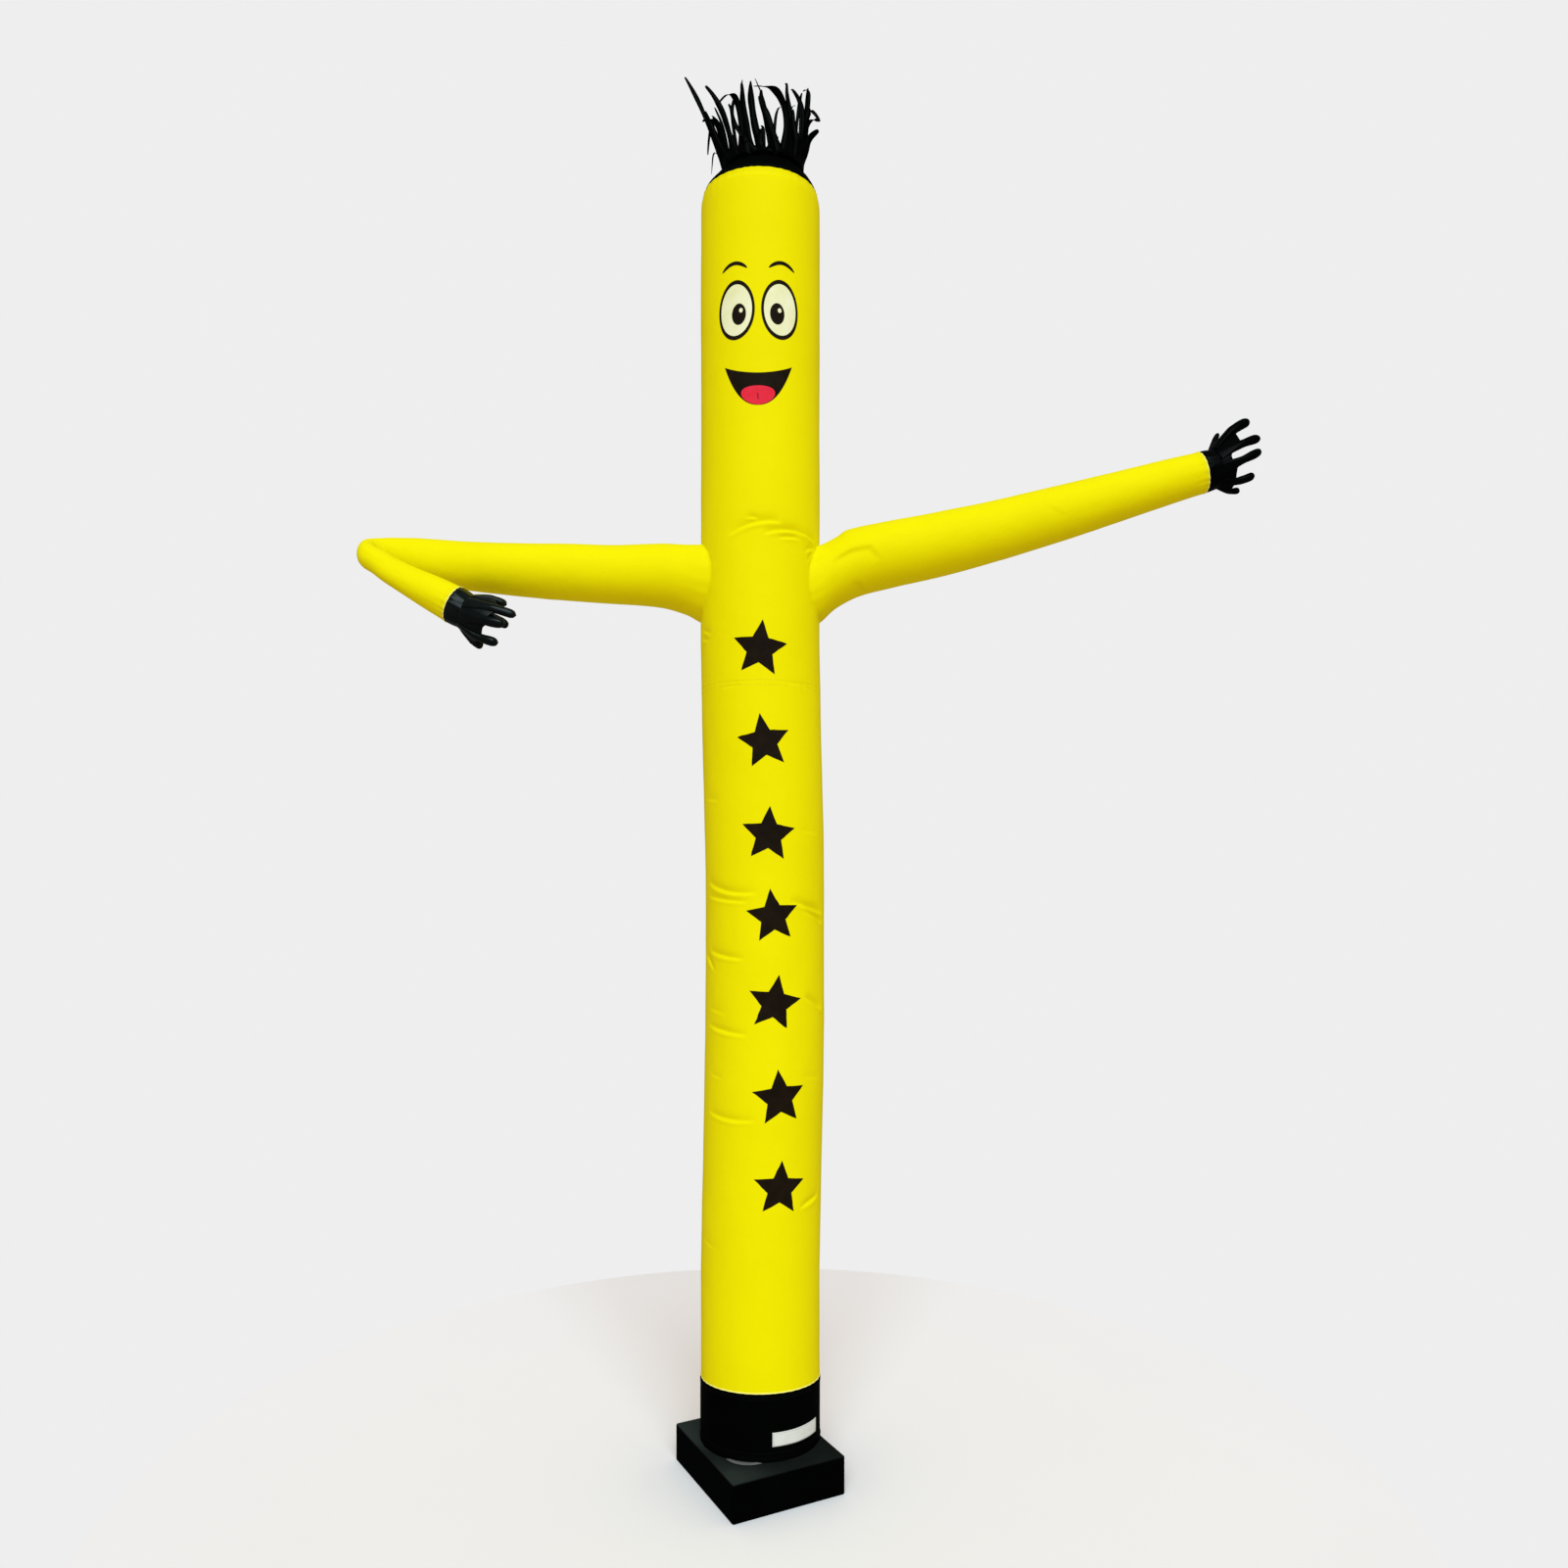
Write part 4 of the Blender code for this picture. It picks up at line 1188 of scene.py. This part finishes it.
def loft_strands(name, strands, material):
    """One piece of strands, each a stack of rings, closed at both ends."""
    points, faces, uvs = [], [], []
    base = 0
    for rings in strands:
        rows, columns = rings.shape[:2]
        points.append(rings.reshape(-1, 3))
        # The outline runs against the surface's outward side, so the faces are turned
        faces.append(grid_faces(rows, columns, True)[:, ::-1] + base)
        start = base + np.arange(columns)
        end = start + (rows - 1) * columns
        for k in range(columns // 2 - 1):
            faces.append([[start[k], start[k + 1], start[-k - 2], start[-k - 1]]])
            faces.append([[end[-k - 1], end[-k - 2], end[k + 1], end[k]]])
        uvs.append(pairs(np.arange(rows)[:, None] * 0.01, np.arange(columns) * 0.002).reshape(-1, 2))
        base += rows * columns
    return mesh_object(name, np.vstack(points), np.vstack(faces), material, np.vstack(uvs))


def hair_lock(number, row):
    """A lock that starts as a petal over the band, then runs as a strip turned to the front."""
    azimuth, strip = row[0], row[-1]
    turned = math.radians(azimuth)
    radial, tangent = outward(azimuth), np.array((math.cos(turned), math.sin(turned), 0))
    front = np.array((math.copysign(1, math.cos(turned) + 1e-9), 0, 0))
    share = np.linspace(0, 1, 24)
    neck = np.array((NECK_CENTRE_X, 0, NECK_TOP))
    reach = HAIR_ROOT[0] + 0.0007 * (number % 3) + 0.0012 * (number // len(HAIR))
    root = neck + radial * reach + (0, 0, HAIR_ROOT[1])
    point, along = parabola(root, neck + row[1:4], neck + row[4:7], share)
    ripple = np.sin(share * (8 + number % 5) + number * 1.9) * share * (1 - 0.5 * share)
    point = point + (radial * 0.0018 + front * 0.0012) * ripple[:, None]
    turn = 0.85 * eased(rising(share, 0, 0.35))[:, None]
    twist = (0.55 * math.sin(number * 2.4) * share)[:, None]
    wide = tangent * (1 - turn) + front * turn
    wide = square_to(along, wide * np.cos(twist) + np.cross(along, wide) * np.sin(twist))
    petal = (1 - rising(share, 0, PETAL_LENGTH)) ** 1.5
    widths = 0.80 * strip + (max(strip, 0.012) * 1.70 - 0.80 * strip) * petal
    widths *= 1 + 0.09 * np.sin(share * 11 + number)
    blunt = 0.42 - 0.22 * (number % 2)
    widths *= rising(1 - share, 0, 0.30) ** 0.55 * (1 - blunt) + blunt
    # The locks at the back are narrower, which leaves gaps between those in front
    widths *= 1.0 if abs(azimuth) < BACK_AZIMUTH else BACK_WIDTH
    cups = widths * (0.08 + 0.12 * np.abs(np.sin(share * 4 + number * 1.3)))
    out = np.cross(wide, along)
    outline = [
        point + wide * (widths / 2 * a)[:, None] + out * (cups * b + HAIR_THICKNESS * c)[:, None]
        for a, b, c in LOCK_OUTLINE
    ]
    return np.stack(outline, axis=1)


def hair_band():
    azimuth, row = np.meshgrid(np.linspace(-180, 180, 265), np.arange(len(HAIR_BAND)))
    height, radius = np.array(HAIR_BAND)[row].transpose(2, 0, 1)
    radius = radius + 0.0005 * np.cos(np.radians(azimuth) * FLUTES)
    points = round_axis(azimuth, radius, NECK_TOP - HAIR_BAND[-1][0] + height, NECK_CENTRE_X)
    return ring_sheet("hair_band", points, BLACK, pairs(np.radians(azimuth) * 0.08, row * 0.003))


locks = [hair_lock(number, np.array(row)) for number, row in enumerate(HAIR + THIN_HAIR)]
hair = declare(loft_strands("hair_locks", locks, HAIR_BLACK), "black_nylon", "hair_fringe")
band = declare(hair_band(), "black_nylon")


# Hands

CUFF_THICKNESS = 0.0015
PALM_THICKNESS = 0.0012
# Fingers start this far under the cuff's end and outside it
FINGER_ROOT = (-0.010, 0.0010)
FINGER_ROWS = 26
FINGER_COLUMNS = 18
FINGER_HALF = 0.56
PALM_COLUMNS_PER_GAP = 14
PALM_ROWS = 22


class Hand:
    """A cloth hand on an arm's wrist: open cuff, palm and puffed fingers."""

    def __init__(self, name, arm, fingers, webs, material, node):
        self.name, self.material = name, material
        axis, up, side, height, _ = arm.at(np.array([arm.length]))
        self.centre, self.up, self.side, self.radius = axis[0], up[0], side[0], float(height[0])
        self.along = np.cross(self.up, self.side)
        self.curves = {}
        grown = [self.finger(number, *row) for number, row in enumerate(fingers)]
        cuff = declare(self.cuff(), "black_nylon")
        fingers = declare(loft_strands(name + "_fingers", grown, material), "black_nylon", node)
        self.pieces = [cuff, declare(self.palm(webs), "black_nylon"), fingers]

    def around(self, angle):
        """Directions out of the wrist, at angles from its top."""
        angle = np.asarray(angle)[..., None]
        return self.up * np.cos(angle) + self.side * np.sin(angle)

    def cuff(self):
        profile = hermite(CUFF, np.linspace(0, 1, 16))
        height, share = profile[:, :1], profile[:, 1:]
        angles = np.linspace(0, FULL_TURN, 97)
        gather = 0.0007 * np.sin(angles * 19) * np.exp(-height / 0.010)
        gather += 0.0008 * np.sin(angles * 12 + 1) * rising(height, 0, CUFF[-1][0])
        reach = (self.radius * share + gather)[..., None]
        points = self.centre + self.along * (height + 0.0003)[..., None] + self.around(angles) * reach
        uv = pairs(angles * self.radius, height)
        made = ring_sheet(self.name + "_cuff", points, self.material, uv)
        thicken(made, CUFF_THICKNESS)
        return made

    def root(self, angle):
        """Where a finger at an angle grows out of the cuff's end."""
        height, share = CUFF[-1]
        start = self.centre + self.along * (height + FINGER_ROOT[0])
        return start + self.around(angle) * (self.radius * share + FINGER_ROOT[1])

    def finger(self, number, degrees, reach, above, before, width):
        """Rings of a finger, flat and wide in the palm and puffed towards its tip."""
        angle = math.radians(degrees)
        root = self.root(angle)
        tip = self.centre + self.along * reach + self.up * above + self.side * before
        middle = (root + tip) / 2 + self.around(angle) * width * FINGER_BULGE
        self.curves[degrees] = lambda shares: parabola(root, middle, tip, shares)[0]
        share = np.linspace(0, 1, FINGER_ROWS)
        point, along = parabola(root, middle, tip, share)
        wide = square_to(along, self.side * math.cos(angle) - self.up * math.sin(angle))
        thick = np.cross(wide, along)
        palm = 1 - eased(rising(share, 0.06, 0.56))
        puff = 1 + 0.10 * bell(share - 0.80, 0.14) + 0.03 * np.sin(share * 14 + number * 2)
        half = width * FINGER_HALF
        cap = np.sqrt(np.maximum(1 - rising(share, 0.88, 1.0) ** 2, 0.010))
        half_wide = (half * puff + (PALM_WIDTH / 2 - half) * palm) * cap
        half_thick = half * puff * (0.14 + 0.72 * rising(share, 0, 0.55)) * cap
        turn = ring_angles(FINGER_COLUMNS)
        cos, sin = np.cos(turn), np.sin(turn)
        across = (np.sign(cos) * np.abs(cos) ** 0.9)[None, :, None] * half_wide[:, None, None]
        out = (np.sign(sin) * np.abs(sin) ** 0.9)[None, :, None] * half_thick[:, None, None]
        return point[:, None] + wide[:, None] * across + thick[:, None] * out

    def palm(self, webs):
        """One sheet through the roots of all fingers, with a web between each two."""
        angles = sorted(self.curves)
        count = len(angles)
        ends = [max(webs[j], webs[j - 1]) + 0.05 for j in range(count)]
        columns = []
        for j, angle in enumerate(angles):
            after = (j + 1) % count
            gap = (angles[after] - angle) % 360
            for w in np.arange(PALM_COLUMNS_PER_GAP) / PALM_COLUMNS_PER_GAP:
                end = ends[j] if w < 0.5 else ends[after]
                shares = np.linspace(0, webs[j] + (end - webs[j]) * abs(2 * w - 1) ** 2.5, PALM_ROWS)
                a, b, c, d = [self.curves[angles[(j + k) % count]](shares) for k in (-1, 0, 1, 2)]
                bend = c - a + w * (2 * a - 5 * b + 4 * c - d) + w * w * (3 * b - a - 3 * c + d)
                curve = b + 0.5 * w * bend
                round_off = self.root(math.radians(angle + w * gap)) - curve[0]
                columns.append(curve + round_off * (1 - 0.8 * shares / shares[-1])[:, None])
        points = np.stack([*columns, columns[0]], axis=1)
        uv = pairs(np.arange(points.shape[1]) * 0.003, np.arange(PALM_ROWS)[:, None] * 0.004)
        made = ring_sheet(self.name + "_palm", points, self.material, uv)
        thicken(made, PALM_THICKNESS)
        return made


raised_hand = Hand("raised_hand", raised, RAISED_FINGERS, RAISED_WEBS, GLOSS_BLACK, "hand_raised")
folded_hand = Hand("folded_hand", folded, FOLDED_FINGERS, FOLDED_WEBS, PAINTED_SHEEN_BLACK, "hand_folded")
black_stitches = declare(stitches("black_stitches", black_paths, BLACK_THREAD), "black_nylon")


# Prints

FACE_PLACE = (-1.0, 2.430)
FACE_SCALE = 1.2
INK_LIFT = 0.00035
# The face's parts, in metres across and up from its middle: an eye and what is in it
EYE = (0.040, 0.050)
EYE_RIM = (0.0345, 0.0520)
EYE_WHITE = (0.0302, 0.0470)
PUPIL = (0.0130, 0.0185)
PUPIL_TURNED = (0.006, 0.008)
GLINT = (0.0034, 0.0040)
GLINT_PLACE = (0.004, 0.006)
# Brow, mouth, tongue and its groove
BROW = (0.043, 0.121)
BROW_SIZE = (0.024, 0.011)
BROW_WIDTH = 0.0066
MOUTH_LEVEL = -0.062
MOUTH_SIZE = (0.062, 0.056)
MOUTH_CURL = 0.016
TONGUE_LEVEL = -0.101
TONGUE_SIZE = (0.030, 0.0165)
TONGUE_CURL = 0.0045
GROOVE = ((-0.0005, -0.098), (0.0005, -0.108))
GROOVE_WIDTH = 0.0014
# Stars down the front: azimuth, level, turn in degrees, size
STARS = (
    (0.5, 1.780, -6, 0.0610),
    (3.0, 1.586, 8, 0.0590),
    (5.0, 1.392, -4, 0.0600),
    (8.5, 1.221, 6, 0.0585),
    (10.0, 1.039, -9, 0.0600),
    (16.0, 0.841, 5, 0.0605),
    (18.0, 0.651, -3, 0.0595),
)
# A star's inner corners, and its brushed edge, as shares of its size
STAR_WAIST = 0.47
STAR_UNEVEN = 0.028


class Print:
    """Flat shapes laid on the tube, given in metres across and up from a middle."""

    def __init__(self, azimuth, level, turn=0.0, scale=1.0):
        self.azimuth, self.level = azimuth, level
        self.cos, self.sin = math.cos(turn) * scale, math.sin(turn) * scale
        self.points, self.faces = [], []

    def add(self, rows, lift, closed=False):
        """Lays a grid of (across, up) points, and turns its faces to face out."""
        across, up = np.moveaxis(np.asarray(rows, float), -1, 0)
        across, up = across * self.cos - up * self.sin, across * self.sin + up * self.cos
        azimuth = self.azimuth + np.degrees(across / TUBE_RADIUS)
        points = body_points(azimuth, self.level + up, lift).reshape(-1, 3)
        faces = grid_faces(*across.shape, closed)
        a, b, c = (points[faces[:, k]] for k in range(3))
        if np.cross(b - a, c - a).sum(axis=0) @ (points.mean(axis=0) * (1, 1, 0)) < 0:
            faces = faces[:, ::-1]
        self.faces.append(faces + sum(map(len, self.points)))
        self.points.append(points)

    def shape(self, outline, middle, lift, inner=0.0, rings=8):
        """Fills an outline that is seen whole from its middle, or a band of it."""
        self.add([middle + (outline - middle) * s for s in np.linspace(inner, 1, rings)], lift, True)

    def oval(self, middle, half_across, half_up, lift, *band):
        angles = ring_angles(96)
        outline = middle + pairs(half_across * np.cos(angles), half_up * np.sin(angles))
        self.shape(outline, middle, lift, *band)

    def stroke(self, spine, widths, lift, steps=5):
        """A brush stroke along a line of (across, up) points."""
        along = unit(np.gradient(spine, axis=0))
        side = pairs(-along[:, 1], along[:, 0]) * widths[:, None]
        self.add([spine + side * s for s in np.linspace(-0.5, 0.5, steps)], lift)


def star(outer, inner, per_side=14):
    """A star's outline round its middle, with points along each side."""
    angles = math.pi / 2 + np.arange(11) * math.pi / 5
    radius = np.where(np.arange(11) % 2, inner, outer)[:, None]
    corners = radius * pairs(np.cos(angles), np.sin(angles))
    shares = np.linspace(0, 1, per_side + 1)[:-1, None]
    return np.vstack([a + (b - a) * shares for a, b in zip(corners, corners[1:])])


def print_object(name, prints, material):
    """One piece of ink from several prints."""
    points = [np.vstack(made.points) for made in prints]
    bases = np.cumsum([0, *map(len, points)])
    faces = [np.vstack(made.faces) + base for made, base in zip(prints, bases)]
    points = np.vstack(points)
    uv = pairs(np.arctan2(points[:, 0], -points[:, 1]) * TUBE_RADIUS, points[:, 2])
    made = mesh_object(name, points, np.vstack(faces), material, uv)
    weld(made)
    return declare(made, "yellow_nylon")


def eye(black, white, side):
    """A white oval with a rim, a pupil that looks in and down, its glint and a brow."""
    middle = np.multiply(EYE, (side, 1))
    black.oval(middle, *EYE_RIM, INK_LIFT, 0.86, 3)
    white.oval(middle, *EYE_WHITE, INK_LIFT * 0.8)
    pupil = middle - np.multiply(PUPIL_TURNED, (side, 1))
    black.oval(pupil, *PUPIL, INK_LIFT * 2)
    white.oval(pupil + GLINT_PLACE, *GLINT, INK_LIFT * 3)
    t = np.linspace(-1, 1, 30)
    brow = pairs(side * BROW[0] + BROW_SIZE[0] * t, BROW[1] + BROW_SIZE[1] * (1 - t**2))
    black.stroke(brow, BROW_WIDTH * np.sqrt(np.maximum(1 - np.abs(t) ** 3, 0.02)), INK_LIFT)


def mouth(black, red):
    """An open smile with a tongue that has a short groove."""
    t = np.linspace(-1, 1, 81)
    top = pairs(MOUTH_SIZE[0] * t, MOUTH_LEVEL + MOUTH_CURL * t**2)
    open_by = MOUTH_SIZE[1] * np.maximum(1 - np.abs(t) ** 2.4, 0)
    black.add([top - pairs(0, open_by * s) for s in np.linspace(0, 1, 18)], INK_LIFT)
    angles = ring_angles(96)
    up = TONGUE_LEVEL + TONGUE_SIZE[1] * np.sin(angles) + TONGUE_CURL * np.cos(angles) ** 2
    tongue = pairs(TONGUE_SIZE[0] * np.cos(angles), up)
    red.shape(tongue, np.array((0, TONGUE_LEVEL)), INK_LIFT * 2)
    groove = np.linspace(*GROOVE, 12)
    black.stroke(groove, np.full(len(groove), GROOVE_WIDTH), INK_LIFT * 3, 3)


def face_prints():
    black, white, red = (Print(*FACE_PLACE, scale=FACE_SCALE) for _ in range(3))
    for side in (-1, 1):
        eye(black, white, side)
    mouth(black, red)
    return black, white, red


def star_print_at(number, azimuth, level, turned, size):
    """A brushed star on the front of the tube, a little uneven."""
    made = Print(azimuth, level, math.radians(turned))
    outline = star(size, size * STAR_WAIST)
    ripple = value_noise(np.arange(len(outline)) / 4.0, number + 0.5, 91, 35)
    made.shape(outline * (1 + STAR_UNEVEN * ripple)[:, None], np.zeros(2), INK_LIFT, 0.0, 12)
    return made


face_black, face_white, face_red = face_prints()
print_black = print_object("face_black_print", [face_black], INK_BLACK)
print_white = print_object("face_white_print", [face_white], INK_WHITE)
print_red = print_object("face_red_print", [face_red], INK_RED)
stars = [star_print_at(number, *row) for number, row in enumerate(STARS)]
star_print = print_object("star_column_print", stars, INK_BLACK)


# Base

BASE_CORNER = 0.0050
BASE_SHOULDER = 0.0042
BASE_CROWNING = 0.0010
# The foot's eased edge: inset and level. The top's rings: share of the way out
BASE_FOOT = ((0.0016, 0.0), (0.0004, 0.0012), (0.0, 0.0040))
BASE_TOP_RINGS = (0.975, 0.95, 0.92, 0.89, 0.86, 0.8, 0.6, 0.4, 0.2, 0.02)


def base_outline():
    """The housing's plan: rounded corners, as their centres and the directions out of them."""
    half_x, half_y = BASE_SIZE[0] / 2 - BASE_CORNER, BASE_SIZE[1] / 2 - BASE_CORNER
    corners = []
    for x, y, start in ((1, -1, -90), (1, 1, 0), (-1, 1, 90), (-1, -1, 180)):
        for turned in np.radians(np.linspace(start, start + 90, 8)):
            corners.append((x * half_x, y * half_y, math.cos(turned), math.sin(turned)))
    corners = np.array([*corners, corners[0]])
    dense = []
    for here, after in zip(corners, corners[1:]):
        steps = 1 if (here[:2] == after[:2]).all() else 20
        dense.append(here + (after - here) * (np.arange(steps) / steps)[:, None])
    return np.vstack(dense)


def base_housing():
    """The blower's housing: sharp corners, eased upper edges and a faintly crowned top."""
    outline = base_outline()
    edge = BASE_SIZE[2] - BASE_CROWNING - BASE_SHOULDER
    profile = [*BASE_FOOT, *((0.0, level) for level in np.linspace(0.010, edge, 8))]
    for turned in np.linspace(0, math.pi / 2, 9)[1:]:
        profile.append((BASE_SHOULDER * (1 - math.cos(turned)), edge + BASE_SHOULDER * math.sin(turned)))
    rows = []
    for inset, level in profile:
        plan = outline[:, :2] + outline[:, 2:] * (BASE_CORNER - inset)
        rows.append(np.column_stack([plan, np.full(len(plan), level)]))
    rim = rows[-1]
    for share in BASE_TOP_RINGS:
        rise = BASE_CROWNING * (1 - bell(1 - share, 0.07))
        rows.append(rim * (share, share, 1) + (0, 0, rise))
    rows.insert(0, rows[0] * (BASE_TOP_RINGS[-1], BASE_TOP_RINGS[-1], 1))
    points = np.array(rows)
    cos, sin = math.cos(BASE_YAW), math.sin(BASE_YAW)
    points = points @ np.array(((cos, sin, 0), (-sin, cos, 0), (0, 0, 1))) + (*BASE_CENTRE, 0)
    faces = grid_faces(*points.shape[:2], True)
    return mesh_object("base_housing", points, faces, HOUSING, points[..., :2])


declare(base_housing(), "housing", "blower_base")


# Floor, light and camera

FLOOR_REACH = 1.35
FLOOR_LEVEL = -0.0005
FLOOR_TONES = ((0.885, 0.905, 0.955), (0.895, 0.915, 0.965))

# Studio light: a pale surround that is soft and warm as light, and a large soft key from above
SURROUND = grey(0.856)
AMBIENT = (0.612, 0.498, 0.420)
MIRRORED = grey(0.10)
KEY = (0.776, 0.951, 1.0)
KEY_STRENGTH = 2.50
KEY_ELEVATION = 36
KEY_AZIMUTH = 4
KEY_SPREAD = 44
KEY_DISTANCE = 5

CAMERA_PLACE = (0.052, -2.54, 1.284)
FOCAL_PIXELS = 1180
FRAME_PIXELS = 1601
SENSOR = 36.0
HORIZON_ROW = 905


def make_floor():
    """A round of pale floor under the object."""
    radius = np.linspace(0, FLOOR_REACH, 30)[:, None]
    turn = ring_angles(96)
    make = Shader("pale_floor")
    pale = make.ramp(make.noise(1.5, 3), tuple(zip((0.3, 0.7), FLOOR_TONES)))
    points = np.stack(
        np.broadcast_arrays(radius * np.cos(turn), radius * np.sin(turn), FLOOR_LEVEL), axis=-1
    )
    faces = grid_faces(*points.shape[:2], True)
    floor = mesh_object("studio_floor", points, faces, make.surface(pale, 1.0, 0.0))
    floor.visible_diffuse = False
    floor.visible_glossy = False


def make_world():
    """A pale surround for the eye, a warm and even one as light, and a dim one in gloss."""
    world = bpy.data.worlds.new("studio")
    world.use_nodes = True
    tree = world.node_tree
    path = tree.nodes.new("ShaderNodeLightPath")
    shown = tree.nodes["Background"]
    shown.inputs["Color"].default_value = (*AMBIENT, 1)
    for ray, colour in (("Is Glossy Ray", MIRRORED), ("Is Camera Ray", SURROUND)):
        other = tree.nodes.new("ShaderNodeBackground")
        other.inputs["Color"].default_value = (*colour, 1)
        mixed = tree.nodes.new("ShaderNodeMixShader")
        tree.links.new(path.outputs[ray], mixed.inputs[0])
        tree.links.new(shown.outputs[0], mixed.inputs[1])
        tree.links.new(other.outputs[0], mixed.inputs[2])
        shown = mixed
    tree.links.new(shown.outputs[0], tree.nodes["World Output"].inputs["Surface"])
    bpy.context.scene.world = world


def place_object(name, data, place, turned):
    made = bpy.data.objects.new(name, data)
    made.location = place
    made.rotation_euler = turned
    bpy.context.scene.collection.objects.link(made)
    return made


def make_key():
    light = bpy.data.lights.new("key", "SUN")
    light.energy = KEY_STRENGTH
    light.color = KEY
    light.angle = math.radians(KEY_SPREAD)
    level, turned = math.radians(KEY_ELEVATION), math.radians(KEY_AZIMUTH)
    ahead = math.cos(level)
    shines = Vector((-ahead * math.sin(turned), ahead * math.cos(turned), -math.sin(level)))
    place_object("key", light, -shines * KEY_DISTANCE, shines.to_track_quat("-Z", "Y").to_euler())


def make_camera():
    camera = bpy.data.cameras.new("camera")
    camera.sensor_width = SENSOR
    camera.lens = FOCAL_PIXELS * SENSOR / FRAME_PIXELS
    camera.shift_y = (HORIZON_ROW - FRAME_PIXELS / 2) / FRAME_PIXELS
    camera.clip_end = 60
    bpy.context.scene.camera = place_object("camera", camera, CAMERA_PLACE, (math.pi / 2, 0, 0))


make_floor()
make_world()
make_key()
make_camera()
bpy.context.scene.view_settings.view_transform = "Standard"

bpy.context.view_layer.update()
